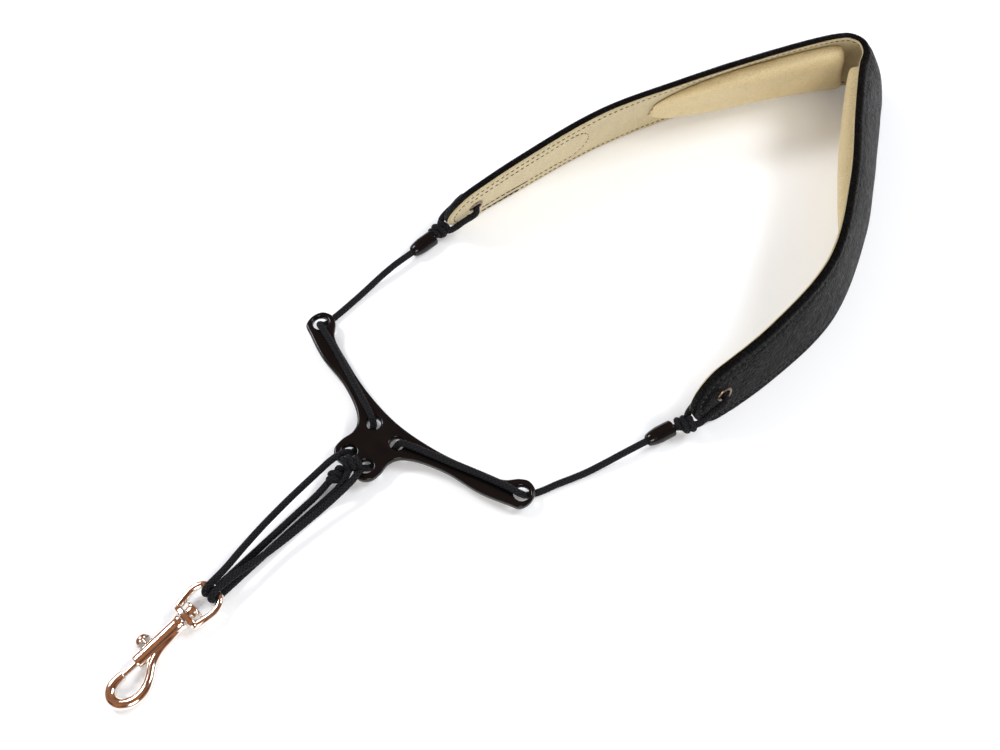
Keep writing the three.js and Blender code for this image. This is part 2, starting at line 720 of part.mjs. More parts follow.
// A cord's way through the plate's holes: x, y, and how far it is from UNDER to OVER.
const LEFT_WING_CORD = [
  [-TIP_HOLE_X, TIP_HOLE_Y + 7.3, 0],
  [-TIP_HOLE_X, TIP_HOLE_Y + 3.8, 0],
  [-TIP_HOLE_X, TIP_HOLE_Y + 1.4, 0.18],
  [0.2 - TIP_HOLE_X, TIP_HOLE_Y, 0.52],
  [1.1 - TIP_HOLE_X, TIP_HOLE_Y - 1.3, 0.86],
  [3.9 - TIP_HOLE_X, TIP_HOLE_Y - 2.1, 1.01],
  [-0.78 * TIP_HOLE_X, 13.4, 1.01],
  [-0.56 * TIP_HOLE_X, 9.1, 1.01],
  [-0.35 * TIP_HOLE_X, 5.1, 1.01],
  [-11.8, 2.2, 1.03],
  [-8.5, 0.9, 0.92],
  [-7.0, 0.1, 0.55],
  [-6.4, -1.2, 0.2],
  [-6.0, -3.6, 0],
  [-5.5, -7.6, 0],
  [-5.1, -11.8, 0],
  [-4.9, -14.3, 0.21],
  [-4.9, -15.8, 0.56],
  [-5.1, -17.5, 0.91],
  [-1.4 - 1.5 * CORD, -20.2, 1.04],
  [-2 - 1.5 * CORD, -23.6, 1.01],
];
const RIGHT_WING_CORD = [
  [TIP_HOLE_X + 3.8, TIP_HOLE_Y + 7.5, 0],
  [TIP_HOLE_X + 1.8, TIP_HOLE_Y + 3.7, 0],
  [TIP_HOLE_X + 0.7, TIP_HOLE_Y + 1.4, 0.18],
  [TIP_HOLE_X, TIP_HOLE_Y + 0.1, 0.52],
  [TIP_HOLE_X - 1.1, TIP_HOLE_Y - 1.2, 0.86],
  ...LEFT_WING_CORD.slice(5).map(([x, y, share]) => [-x, y, share]),
];

function throughPlate(points) {
  return points.map(([x, y, share]) => [x, y, UNDER + share * (OVER - UNDER)]);
}

const LEFT_UPPER_STRAND = [
  [-2.1 - 1.5 * CORD, -23.9, 7.5],
  [-6.9, -34, 6.3],
  [-7.0, -46, 5.3],
  [-6.2, -60, 5.0],
  [-4.4, -72, 6.0],
  [-2.5, -81, 7.4],
  [-1.8, -85.4, 7.9],
];
const RIGHT_UPPER_STRAND = [
  [2.1 + 1.5 * CORD, -23.9, 7.5],
  [1.6 + 1.5 * CORD, -34, 6.3],
  [5.0, -46, 5.3],
  [3.9, -60, 5.0],
  [2.9, -72, 6.0],
  [2.0, -81, 7.4],
  [1.8, -85.4, 7.9],
];
const LEFT_LOWER_STRAND = [
  [-1.7, -85.4, UNDER],
  [-1.7, -74, UNDER],
  [-1.8, -60, UNDER],
  [-1.9, -46, UNDER],
  [-1.8, -36, 2.0],
  [-1.6, -29.2, 4.2],
];
const RIGHT_LOWER_STRAND = [
  [1.7, -85.4, UNDER],
  [1.7, -74, UNDER],
  [1.7, -60, UNDER],
  [1.8, -46, UNDER],
  [2.3, -36, 2.2],
  [1.7 + CORD / 2, -30, 4.2],
  [2 + CORD / 2, -26, 6.9],
  [1.3 + CORD / 2, -22.6, 8.6],
];

// The bight of each cord round the eye's bar.
function makeBight(name, x) {
  const reach = EYE_WIRE + GAP + CORD / 2;
  const points = [];
  for (let i = 0; i <= 6; i += 1) {
    const angle = Math.PI / 2 + (Math.PI * i) / 6;
    points.push([x, EYE_BAR_Y + reach * Math.cos(angle), EYE_BAR_Z + reach * Math.sin(angle)]);
  }
  points.unshift([x, EYE_BAR_Y + 3.2, EYE_BAR_Z + reach]);
  points.push([x, EYE_BAR_Y + 3.2, EYE_BAR_Z - reach]);
  cord(name, points, 1.4);
}

function makeCords() {
  for (const [index, side] of ["left", "right"].entries()) {
    const distance = eyeletDistances()[index];
    cord(`${side}_eyelet_loop`, inEyeletFrame(distance, EYELET_LOOP), 3);
    makeKnot(`${side}_pad_knot`, inEyeletFrame(distance, [PAD_KNOT_AT])[0], [3.8, 3.3, 3.5]);
  }
  cord("left_pad_cord", LEFT_PAD_CORD, 6);
  cord("right_pad_cord", RIGHT_PAD_CORD, 6);
  cord("left_wing_cord", throughPlate(LEFT_WING_CORD), 2.6);
  cord("right_wing_cord", throughPlate(RIGHT_WING_CORD), 2.6);
  cord("left_upper_strand", LEFT_UPPER_STRAND, 6);
  cord("right_upper_strand", RIGHT_UPPER_STRAND, 6);
  cord("left_lower_strand", LEFT_LOWER_STRAND, 6);
  cord("right_lower_strand", RIGHT_LOWER_STRAND, 5);
  makeBight("left_bight", -1.75);
  makeBight("right_bight", 1.75);
}

// ---------------------------------------------------------------- assembly
makeBand();
makeCushion("left", -1);
makeCushion("right", 1);
makeEyelet("left", eyeletDistances()[0]);
makeEyelet("right", eyeletDistances()[1]);
makeSleeve("left_sleeve", -56.35, 71.5, THREE.MathUtils.degToRad(-4.8));
makeSleeve("right_sleeve", 78.1, 70.0, THREE.MathUtils.degToRad(-17.6));
makePlate();
makeKnot("left_end_knot", [-0.9, -24.8, 5.6], [3.1, 3.1, 3.1]);
makeKnot("right_end_knot", [0.8, -18.4, 9.7], [2.9, 3.2, 3.0]);
makeHook();
makeCords();

// The origin lies under the middle of the strap, on the table.
const CORD_PIECES = /cord|strand|bight|loop|knot$/;
const bounds = new THREE.Box3();
strap.updateMatrixWorld(true);
for (const piece of strap.getObjectsByProperty("isMesh", true)) {
  if (!CORD_PIECES.test(piece.name)) bounds.expandByObject(piece, true);
}
const middle = bounds.getCenter(new THREE.Vector3());
strap.position.set(-middle.x, -middle.y, 0);

export default strap;
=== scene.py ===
"""Saxophone neck strap: the visual model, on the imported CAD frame. Lengths are millimetres in the
strap's drawing frame (see at()), and metres once they are placed."""
import math

import bmesh
import bpy
import numpy as np
from mathutils import Matrix, Vector
from mathutils.bvhtree import BVHTree


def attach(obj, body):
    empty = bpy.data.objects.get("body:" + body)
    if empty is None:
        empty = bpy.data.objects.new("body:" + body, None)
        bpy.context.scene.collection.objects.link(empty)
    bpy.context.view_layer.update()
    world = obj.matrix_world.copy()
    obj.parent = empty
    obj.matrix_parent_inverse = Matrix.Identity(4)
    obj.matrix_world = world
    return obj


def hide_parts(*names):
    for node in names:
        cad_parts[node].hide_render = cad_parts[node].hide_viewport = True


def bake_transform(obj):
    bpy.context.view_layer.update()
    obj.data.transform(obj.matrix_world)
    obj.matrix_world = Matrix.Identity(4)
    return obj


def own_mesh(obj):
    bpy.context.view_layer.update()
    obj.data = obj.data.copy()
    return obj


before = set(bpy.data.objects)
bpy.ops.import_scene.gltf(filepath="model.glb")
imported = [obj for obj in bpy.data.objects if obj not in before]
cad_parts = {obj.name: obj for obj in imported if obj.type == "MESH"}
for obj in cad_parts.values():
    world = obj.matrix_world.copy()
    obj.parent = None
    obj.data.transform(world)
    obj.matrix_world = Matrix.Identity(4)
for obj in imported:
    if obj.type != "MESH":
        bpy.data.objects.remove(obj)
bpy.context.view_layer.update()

MM = 0.001
SHIFT = np.array([-18.514, -76.939, 0.0])  # from the drawing frame to the row frame


def at(points):
    """Drawing-frame millimetres to row-frame metres."""
    return (np.asarray(points, float) + SHIFT) * MM


def linked(name, data):
    """A new object of the given data, in the scene."""
    obj = bpy.data.objects.new(name, data)
    bpy.context.scene.collection.objects.link(obj)
    return obj


# ---- camera
def make_camera():
    data = bpy.data.cameras.new("camera")
    data.sensor_width = 36.0
    data.lens = 43.2
    data.clip_start = 0.01
    camera = linked("camera", data)
    camera.location = Vector(at((183.3, -129.3, 433.0)))
    aim = Vector(at((12.8, 53.5, 0.0))) - camera.location
    camera.rotation_euler = aim.to_track_quat("-Z", "Y").to_euler()
    bpy.context.scene.camera = camera
    bpy.context.scene.view_settings.view_transform = "Standard"


make_camera()


# ---- curves
class Curve:
    """A centripetal Catmull-Rom curve through the given points."""

    def __init__(self, points, closed=False):
        p = np.asarray(points, float)
        if closed:
            self.count = len(p)
            self.ext = np.vstack([p[-1], p, p[0], p[1]])
        else:
            self.count = len(p) - 1
            self.ext = np.vstack([2 * p[0] - p[1], p, 2 * p[-1] - p[-2]])

    def at(self, t):
        u = np.clip(np.asarray(t, float), 0, 1) * self.count
        i = np.minimum(np.floor(u).astype(int), self.count - 1)
        w = (u - i)[:, None]
        a, b, c, d = (self.ext[i + k] for k in range(4))

        def step(x, y):
            return np.maximum(np.sum((x - y) ** 2, axis=1, keepdims=True) ** 0.25, 1e-9)

        d0, d1, d2 = step(a, b), step(b, c), step(c, d)
        t1 = ((b - a) / d0 - (c - a) / (d0 + d1) + (c - b) / d1) * d1
        t2 = ((c - b) / d1 - (d - b) / (d1 + d2) + (d - c) / d2) * d1
        return b + t1 * w + (3 * (c - b) - 2 * t1 - t2) * w**2 + (2 * (b - c) + t1 + t2) * w**3

    def tangent(self, t):
        h = 1e-4
        d = self.at(np.clip(t + h, 0, 1)) - self.at(np.clip(t - h, 0, 1))
        return d / np.linalg.norm(d, axis=1, keepdims=True)

    def even(self, spacing):
        """Points at an even spacing along the curve."""
        t = np.linspace(0, 1, 60 * self.count + 1)
        p = self.at(t)
        run = lengths(p)
        n = max(2, int(round(run[-1] / spacing)))
        return self.at(np.interp(np.linspace(0, run[-1], n + 1), run, t))


def lengths(p):
    """Distances along a line of points."""
    return np.concatenate([[0], np.cumsum(np.linalg.norm(np.diff(p, axis=0), axis=1))])


def smoothstep(x):
    """0 up to 0, 1 from 1, and smooth between."""
    x = np.clip(x, 0, 1)
    return x * x * (3 - 2 * x)


# ---- mesh helpers
def new_object(name, verts, faces, material, sharp=None):
    """A smooth mesh object, creased where it turns by more than sharp degrees."""
    mesh = bpy.data.meshes.new(name)
    mesh.from_pydata([tuple(v) for v in verts], [], [tuple(f) for f in faces])
    mesh.validate()
    mesh.materials.append(material)
    mesh.shade_smooth()
    if sharp:
        mesh.set_sharp_from_angle(angle=math.radians(sharp))
    return linked(name, mesh)


def crease(mesh, degrees):
    mesh.shade_smooth()
    mesh.set_sharp_from_angle(angle=math.radians(degrees))


def assign(obj, body, slot, *nodes):
    """The body the piece rides on, and the CAD nodes it replaces; slot is not used."""
    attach(obj, body)
    if nodes:
        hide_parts(*nodes)


def outward(mesh, merge=None):
    """Turns every face outwards, after merging points closer than merge metres."""
    bm = bmesh.new()
    bm.from_mesh(mesh)
    if merge:
        bmesh.ops.remove_doubles(bm, verts=bm.verts, dist=merge)
    bmesh.ops.recalc_face_normals(bm, faces=bm.faces)
    bm.to_mesh(mesh)
    bm.free()


def grid_faces(rows, columns, wrap=False):
    """Quads of a grid of rows by columns, wrap joining the last column to the first."""
    faces = []
    last = columns if wrap else columns - 1
    for i in range(rows - 1):
        for j in range(last):
            k = (j + 1) % columns
            faces.append((i * columns + j, i * columns + k, (i + 1) * columns + k, (i + 1) * columns + j))
    return faces


def slab_faces(rows, columns):
    """Faces of a closed slab: its front's grid of points, then its back's, and the rim between."""
    n = rows * columns
    faces = grid_faces(rows, columns)
    faces += [tuple(i + n for i in f[::-1]) for f in faces]
    rim = [i * columns for i in range(rows)]
    rim += [(rows - 1) * columns + j for j in range(1, columns)]
    rim += [i * columns + columns - 1 for i in range(rows - 2, -1, -1)]
    rim += [j for j in range(columns - 2, 0, -1)]
    return faces + [(a, b, b + n, a + n) for a, b in zip(rim, rim[1:] + rim[:1])]


def moving_frames(p):
    """Tangent, normal and binormal along a line, with no twist."""
    t = np.gradient(p, axis=0)
    t /= np.linalg.norm(t, axis=1, keepdims=True)
    first = np.cross(t[0], [0, 0, 1.0])
    if np.linalg.norm(first) < 0.2:
        first = np.cross(t[0], [1.0, 0, 0])
    normals = [first / np.linalg.norm(first)]
    for i in range(1, len(p)):
        n = normals[-1] - t[i] * np.dot(normals[-1], t[i])
        normals.append(n / np.linalg.norm(n))
    normals = np.array(normals)
    return t, normals, np.cross(t, normals)


def tube(name, points, radius, material, sides=20):
    """A closed round tube along points in metres, with UVs: millimetres along, and turns round."""
    p = np.asarray(points, float)
    t, n, b = moving_frames(p)
    r = np.broadcast_to(np.asarray(radius, float), (len(p),))
    angle = np.arange(sides) * 2 * np.pi / sides
    ring = np.cos(angle)[None, :, None] * n[:, None] + np.sin(angle)[None, :, None] * b[:, None]
    verts = (p[:, None] + r[:, None, None] * ring).reshape(-1, 3)
    faces = grid_faces(len(p), sides, wrap=True)
    verts = np.vstack([verts, p[0], p[-1]])
    a, z, last = len(verts) - 2, len(verts) - 1, (len(p) - 1) * sides
    faces += [(a, (j + 1) % sides, j) for j in range(sides)]
    faces += [(z, last + j, last + (j + 1) % sides) for j in range(sides)]
    obj = new_object(name, verts, faces, material)
    run = lengths(p) / MM
    layer = obj.data.uv_layers.new(name="UVMap")
    index = np.array([loop.vertex_index for loop in obj.data.loops])
    u = np.where(index < len(p) * sides, run[np.minimum(index // sides, len(p) - 1)], 0.0)
    v = (index % sides) / sides
    face_max = np.zeros(len(index))
    for poly in obj.data.polygons:
        loops = slice(poly.loop_start, poly.loop_start + poly.loop_total)
        face_max[loops] = v[loops].max()
    v = np.where((v < 0.05) & (face_max > 0.9), v + 1.0, v)  # the last strip ends at a whole turn
    layer.data.foreach_set("uv", np.stack([u, v], axis=1).astype(np.float32).ravel())
    return obj


def lathe(name, profile, material, sides=56, matrix=None, sharp=35):
    """A solid of revolution about its own Y axis, from [radius, y] points in millimetres."""
    profile = np.asarray(profile, float) * MM
    angle = np.arange(sides) * 2 * np.pi / sides
    x = profile[:, 0][:, None] * np.cos(angle)
    z = profile[:, 0][:, None] * np.sin(angle)
    y = np.broadcast_to(profile[:, 1][:, None], x.shape)
    verts = np.stack([x, y, z], axis=2).reshape(-1, 3)
    obj = new_object(name, verts, grid_faces(len(profile), sides, wrap=True), material, sharp=sharp)
    outward(obj.data, merge=1e-7)
    crease(obj.data, sharp)
    if matrix is not None:
        obj.data.transform(matrix)
    return obj


def rounded(points, radius, steps=5):
    """An open 2-D outline with its inner corners rounded off."""
    p = [np.asarray(q, float) for q in points]
    out = [p[0]]
    for before, corner, after in zip(p, p[1:], p[2:]):
        a, b = before - corner, after - corner
        la, lb = np.linalg.norm(a), np.linalg.norm(b)
        cut = min(radius, 0.45 * la, 0.45 * lb)
        start, end = corner + a / la * cut, corner + b / lb * cut
        for k in range(steps + 1):
            w = k / steps
            out.append((1 - w) ** 2 * start + 2 * w * (1 - w) * corner + w**2 * end)
    out.append(p[-1])
    return out


def applied(obj):
    """Replaces the object's mesh by what its modifiers make of it."""
    graph = bpy.context.evaluated_depsgraph_get()
    mesh = bpy.data.meshes.new_from_object(obj.evaluated_get(graph))
    obj.modifiers.clear()
    obj.data = mesh


def cut(obj, cutter):
    """Takes the cutter's solid out of the object's, and removes the cutter."""
    boolean = obj.modifiers.new("cut", "BOOLEAN")
    boolean.object = cutter
    boolean.operation = "DIFFERENCE"
    boolean.solver = "EXACT"
    applied(obj)
    bpy.data.objects.remove(cutter)


def voxel_remesh(obj, size):
    remesh = obj.modifiers.new("remesh", "REMESH")
    remesh.mode = "VOXEL"
    remesh.voxel_size = size


def soften(obj, iterations):
    smooth = obj.modifiers.new("soften", "SMOOTH")
    smooth.factor = 0.5
    smooth.iterations = iterations


def joined(name, objects, material):
    """One object of several meshes."""
    bm = bmesh.new()
    for obj in objects:
        bm.from_mesh(obj.data)
        bpy.data.objects.remove(obj)
    mesh = bpy.data.meshes.new(name)
    bm.to_mesh(mesh)
    bm.free()
    mesh.materials.append(material)
    return linked(name, mesh)


# ---- materials
class Shader:
    """A Principled material and a few short calls for its nodes."""

    def __init__(self, name, color, roughness, metallic=0.0, **sockets):
        self.material = bpy.data.materials.new(name)
        self.material.use_nodes = True
        self.tree = self.material.node_tree
        self.bsdf = self.tree.nodes["Principled BSDF"]
        self.bsdf.inputs["Base Color"].default_value = (*color, 1)
        self.bsdf.inputs["Roughness"].default_value = roughness
        self.bsdf.inputs["Metallic"].default_value = metallic
        for key, value in sockets.items():
            self.bsdf.inputs[key.replace("_", " ")].default_value = value

    def node(self, kind, settings=(), **inputs):
        made = self.tree.nodes.new(kind)
        for key, value in dict(settings).items():
            setattr(made, key, value)
        for key, value in inputs.items():
            numbered = key[0] == "i" and key[1:].isdigit()
            slot = made.inputs[int(key[1:]) if numbered else key.replace("_", " ")]
            if isinstance(value, bpy.types.NodeSocket):
                self.tree.links.new(value, slot)
            else:
                slot.default_value = value
        return made

    def out(self, kind, settings=(), output=0, **inputs):
        return self.node(kind, settings, **inputs).outputs[output]

    def math(self, operation, a, b=0.0, c=0.0):
        return self.out("ShaderNodeMath", {"operation": operation}, i0=a, i1=b, i2=c)

    def place(self, stretch=(1, 1, 1)):
        where = self.out("ShaderNodeTexCoord", output="Object")
        return self.out("ShaderNodeMapping", i0=where, i3=stretch)

    def noise(self, where, scale, detail=3.0, roughness=0.55):
        return self.out("ShaderNodeTexNoise", Vector=where, Scale=scale, Detail=detail, Roughness=roughness)

    def cells(self, where, scale, feature="DISTANCE_TO_EDGE"):
        return self.out("ShaderNodeTexVoronoi", {"feature": feature}, Vector=where, Scale=scale)

    def ramp(self, value, low, high, out_low=0.0, out_high=1.0):
        return self.out("ShaderNodeMapRange", i0=value, i1=low, i2=high, i3=out_low, i4=out_high)

    def mix(self, factor, a, b):
        made = self.tree.nodes.new("ShaderNodeMix")
        made.data_type = "RGBA"
        for slot, value in ((0, factor), (6, a), (7, b)):
            if isinstance(value, bpy.types.NodeSocket):
                self.tree.links.new(value, made.inputs[slot])
            else:
                made.inputs[slot].default_value = value if slot == 0 else (*value, 1)
        return made.outputs[2]

    def bump(self, height, distance, strength=1.0):
        return self.out("ShaderNodeBump", Height=height, Distance=distance, Strength=strength)

    def set(self, **inputs):
        for key, value in inputs.items():
            self.tree.links.new(value, self.bsdf.inputs[key.replace("_", " ")])


def pebbled_leather():
    s = Shader("black_leather", (0.008, 0.008, 0.009), 0.5, Specular_IOR_Level=0.08)
    where = s.place()
    warp = s.out("ShaderNodeTexNoise", output="Color", Vector=where, Scale=260.0, Detail=2.0)
    shifted = s.out("ShaderNodeVectorMath", {"operation": "MULTIPLY_ADD"}, i0=warp,
                    i1=(0.0016,) * 3, i2=where)
    pebbles = s.ramp(s.cells(shifted, 560.0), 0.0, 0.32)
    fine = s.ramp(s.cells(shifted, 1500.0), 0.0, 0.3)
    creases = s.noise(where, 190.0, 4.0, 0.6)
    height = s.math("MULTIPLY_ADD", fine, 0.35, s.math("MULTIPLY_ADD", creases, 1.8, pebbles))
    # painted shade: the crevices between the pebbles are painted near black (0.0015); the tone beside it is
    # darker where the creases run low
    tone = s.mix(s.ramp(creases, 0.3, 0.7), (0.003, 0.0034, 0.0036), (0.010, 0.011, 0.012))
    color = s.mix(s.ramp(pebbles, 0.0, 0.6), (0.0015, 0.0015, 0.0015), tone)
    rough = s.ramp(s.noise(where, 420.0), 0.3, 0.7, 0.34, 0.5)
    s.set(Base_Color=color, Roughness=rough, Normal=s.bump(height, 0.0012))
    return s.material


def gold_leather(name, light, dark, wrinkle):
    s = Shader(name, light, 0.45, 0.12, Specular_IOR_Level=0.5, Sheen_Weight=0.15)
    where = s.place()
    grain = s.ramp(s.cells(where, 1900.0), 0.0, 0.35)
    pores = s.cells(where, 3600.0, "F1")
    soft = s.noise(where, 150.0, 4.0, 0.6)
    height = s.math("MULTIPLY_ADD", pores, 0.3, s.math("MULTIPLY_ADD", soft, wrinkle, grain))
    tone = s.mix(s.ramp(soft, 0.3, 0.7), dark, light)
    # painted shade: the grain's crevices take a crease colour at 0.62 of the dark tone; the tone is darker
    # where the wrinkles run low
    crease = tuple(0.62 * c for c in dark)
    color = s.mix(s.ramp(grain, 0.0, 0.45), crease, tone)
    rough = s.ramp(s.noise(where, 700.0), 0.3, 0.7, 0.38, 0.54)
    s.set(Base_Color=color, Roughness=rough, Normal=s.bump(height, 0.00011))
    return s.material


def braided():
    s = Shader("braid", (0.006, 0.006, 0.007), 0.6, Specular_IOR_Level=0.12)
    uv = s.out("ShaderNodeTexCoord", output="UV")
    split = s.node("ShaderNodeSeparateXYZ", Vector=uv).outputs
    along = s.math("MULTIPLY", split[0], 0.62)
    around = s.math("MULTIPLY", split[1], 6.0)
    plus, minus = s.math("ADD", along, around), s.math("SUBTRACT", along, around)
    ridge = []
    for phase in (plus, minus):
        wave = s.math("PINGPONG", phase, 0.5)
        ridge.append(s.ramp(wave, 0.02, 0.42))
    over = s.math("PINGPONG", s.math("ADD", s.math("FLOOR", plus), s.math("FLOOR", minus)), 1.0)
    blend = s.math("MULTIPLY_ADD", s.math("SUBTRACT", ridge[0], ridge[1]), over, ridge[1])
    low = s.math("MINIMUM", ridge[0], ridge[1])
    height = s.math("MULTIPLY_ADD", blend, 0.75, s.math("MULTIPLY", low, 0.25))
    fibre = s.noise(s.place(), 5200.0, 2.0)
    height = s.math("MULTIPLY_ADD", fibre, 0.22, height)
    # painted shade and light: the colour follows the braid's relief, near black in the grooves between
    # strands and lighter on the strands' crowns
    color = s.mix(height, (0.0004, 0.0004, 0.0005), (0.016, 0.017, 0.02))
    rough = s.ramp(fibre, 0.3, 0.7, 0.5, 0.72)
    s.set(Base_Color=color, Roughness=rough, Normal=s.bump(height, 0.0004))
    return s.material


def thread(name, color):
    s = Shader(name, color, 0.75, Sheen_Weight=0.3)
    where = s.place()
    twist = s.out("ShaderNodeTexWave", {"bands_direction": "DIAGONAL"}, Vector=where, Scale=900.0,
                  Distortion=1.5)
    tone = s.mix(s.noise(where, 900.0), tuple(0.55 * c for c in color), tuple(1.25 * c for c in color))
    s.set(Base_Color=tone, Normal=s.bump(twist, 0.00006))
    return s.material


def gloss_black():
    s = Shader("gloss_black", (0.004, 0.004, 0.0045), 0.16, 0.0, Coat_Weight=0.15, Coat_Roughness=0.04,
               Specular_IOR_Level=0.2)
    where = s.place()
    haze = s.noise(where, 90.0, 5.0, 0.6)
    peel = s.noise(where, 900.0, 2.0)
    specks = s.ramp(s.cells(where, 420.0, "F1"), 0.0, 0.06, 1.0, 0.0)
    color = s.mix(s.math("MULTIPLY", specks, 0.15), (0.004, 0.004, 0.0045), (0.12, 0.12, 0.12))
    s.set(Base_Color=color, Roughness=s.ramp(haze, 0.3, 0.7, 0.1, 0.26), Normal=s.bump(peel, 0.00001, 0.5))
    return s.material


def plated(name, light, dark, rough_low, rough_high):
    s = Shader(name, light, rough_low, 1.0)
    where = s.place()
    cloud = s.noise(where, 160.0, 4.0, 0.6)
    ripple = s.noise(where, 420.0, 2.0)
    scratches = s.noise(s.place(stretch=(1.0, 14.0, 1.0)), 900.0, 3.0, 0.7)
    color = s.mix(s.ramp(cloud, 0.3, 0.7), dark, light)
    rough = s.ramp(scratches, 0.35, 0.75, rough_low, rough_high)
    s.set(Base_Color=color, Roughness=rough, Normal=s.bump(ripple, 0.00004, 0.6))
    return s.material


def woven(name, color):
    s = Shader(name, color, 0.9, Sheen_Weight=0.3)
    where = s.place()
    waves = []
    for axis in ("X", "Z"):
        settings = {"bands_direction": axis, "wave_type": "BANDS"}
        waves.append(s.out("ShaderNodeTexWave", settings, Vector=where, Scale=900.0, Distortion=0.6))
    weave = s.math("MULTIPLY", waves[0], waves[1])
    tone = s.mix(weave, tuple(0.5 * c for c in color), tuple(min(1.0, 1.3 * c) for c in color))
    s.set(Base_Color=tone, Normal=s.bump(weave, 0.0002))
    return s.material


def felted(name, color):
    s = Shader(name, color, 0.95, Sheen_Weight=0.3)
    where = s.place()
    fuzz = s.noise(where, 1800.0, 6.0, 0.75)
    tone = s.mix(fuzz, tuple(0.6 * c for c in color), tuple(min(1.0, 1.25 * c) for c in color))
    s.set(Base_Color=tone, Normal=s.bump(fuzz, 0.0003))
    return s.material


BLACK_LEATHER = pebbled_leather()
LINING = gold_leather("gold_lining", (0.74, 0.62, 0.37), (0.64, 0.53, 0.30), 2.2)
# painted light: the cushion is covered in the lining's leather, and its lighter gold stands for the light
# on its raised front
CUSHION = gold_leather("gold_cushion", (0.86, 0.71, 0.41), (0.80, 0.65, 0.36), 1.2)
BRAID = braided()
BROWN_THREAD = thread("brown_thread", (0.05, 0.032, 0.014))
BLACK_THREAD = thread("black_thread", (0.008, 0.008, 0.009))
GLOSS = gloss_black()
PLATED = plated("nickel_plate", (0.88, 0.84, 0.80), (0.80, 0.74, 0.68), 0.09, 0.18)
EYELET = plated("aged_brass", (0.34, 0.27, 0.2), (0.16, 0.12, 0.09), 0.2, 0.42)
SPRING = plated("spring_wire", (0.6, 0.6, 0.6), (0.45, 0.45, 0.46), 0.25, 0.4)
WEBBING = woven("webbing", (0.02, 0.02, 0.02))
FELT = felted("felt", (0.05, 0.05, 0.05))


# ---- cord routes, as in the CAD
CORD = 2.8
BAND_HALF = 2.1
EYE_BAR = (-88.9, 4.75)  # y and z of the bar of the hook's eye
EYE_WIRE = 1.5
GAP = 0.3  # between a cord and what it passes
PLATE_THICKNESS = 3.0
PLATE_BOTTOM = CORD + 0.5
SLEEVE_Z = 3.6  # height of the sleeves' axes
TIP_HOLE = (57.5, 18.0)  # the plate's outer holes


def make_cord_routes():
    """Each cord's points, in the drawing frame. Where a cord passes through the plate, its
    third number is the share of the way up from under the plate to over it."""
    under, over = CORD / 2 + 0.1, PLATE_BOTTOM + PLATE_THICKNESS + GAP + CORD / 2
    left_wing = [
        (-57.5, 25.3, 0), (-57.5, 21.8, 0), (-57.5, 19.4, 0.18), (-57.3, 18.0, 0.52),
        (-56.4, 16.7, 0.86), (-53.6, 15.9, 1.01), (-45, 13.4, 1.01), (-32, 9.1, 1.01),
        (-20, 5.1, 1.01), (-11.8, 2.2, 1.03), (-8.5, 0.9, 0.92), (-7.0, 0.1, 0.55),
        (-6.4, -1.2, 0.2), (-6.0, -3.6, 0), (-5.5, -7.6, 0), (-5.1, -11.8, 0),
        (-4.9, -14.3, 0.21), (-4.9, -15.8, 0.56),
    ]
    right_start = [
        (61.3, 25.5, 0), (59.3, 21.7, 0), (58.2, 19.4, 0.18), (57.5, 18.1, 0.52),
        (56.4, 16.8, 0.86),
    ]
    right_wing = right_start + [(-x, y, h) for x, y, h in left_wing[5:]]
    rise = [(5.1, -17.5, 0.91), (5.6, -20.2, 1.04), (6.2, -23.6, 1.01)]

    def heights(points):
        return [(x, y, under + h * (over - under)) for x, y, h in points]

    left_pad = [
        (-55.4, 83, SLEEVE_Z), (-56.3, 72, SLEEVE_Z), (-57.2, 61, SLEEVE_Z), (-57.6, 53, 2.8),
        (-57.7, 45, 1.8), (-57.6, 38, under), (-57.5, 31, under),
    ]
    right_pad = [
        (81.6, 81, SLEEVE_Z), (78.3, 70.6, SLEEVE_Z), (74.9, 59.9, SLEEVE_Z), (72.2, 52, 2.8),
        (69.2, 44, 1.8), (66.6, 38, under), (63.9, 32, under),
    ]
    left_upper = [
        (-6.9, -34, 6.3), (-7.0, -46, 5.3), (-6.2, -60, 5.0), (-4.4, -72, 6.0), (-2.5, -81, 7.4),
    ]
    right_upper = [
        (5.8, -34, 6.3), (5.0, -46, 5.3), (3.9, -60, 5.0), (2.9, -72, 6.0), (2.0, -81, 7.4),
    ]
    left_lower = [
        (-1.7, -85.4, under), (-1.7, -74, under), (-1.8, -60, under), (-1.9, -46, under),
        (-1.8, -36, 2.0), (-1.6, -29.2, 4.2), (-0.9, -25.8, 5.4),
    ]
    right_lower = [
        (1.7, -85.4, under), (1.7, -74, under), (1.7, -60, under), (1.8, -46, under),
        (2.3, -36, 2.2), (3.1, -30, 4.2), (3.4, -26, 6.9), (2.5, -22.2, 8.8), (1.0, -19.2, 9.6),
    ]
    bar_y, bar_z, reach = EYE_BAR[0], EYE_BAR[1], EYE_WIRE + GAP + CORD / 2

    def bight(x):
        angles = [math.pi / 2 + math.pi * k / 6 for k in range(7)]
        return [(x, bar_y + reach * math.cos(a), bar_z + reach * math.sin(a)) for a in angles]

    routes = {}
    for side, sign, pad, wing, upper, lower in (
        ("left", -1, left_pad, left_wing, left_upper, left_lower),
        ("right", 1, right_pad, right_wing, right_upper, right_lower),
    ):
        start = heights([(5.05 * sign, -15.2, 0.44)])
        up = heights([(sign * x, y, h) for x, y, h in rise])
        loop = start + up + upper + bight(1.75 * sign) + lower
        routes[side] = {"pad": pad, "wing": heights(wing), "loop": loop}
    return routes


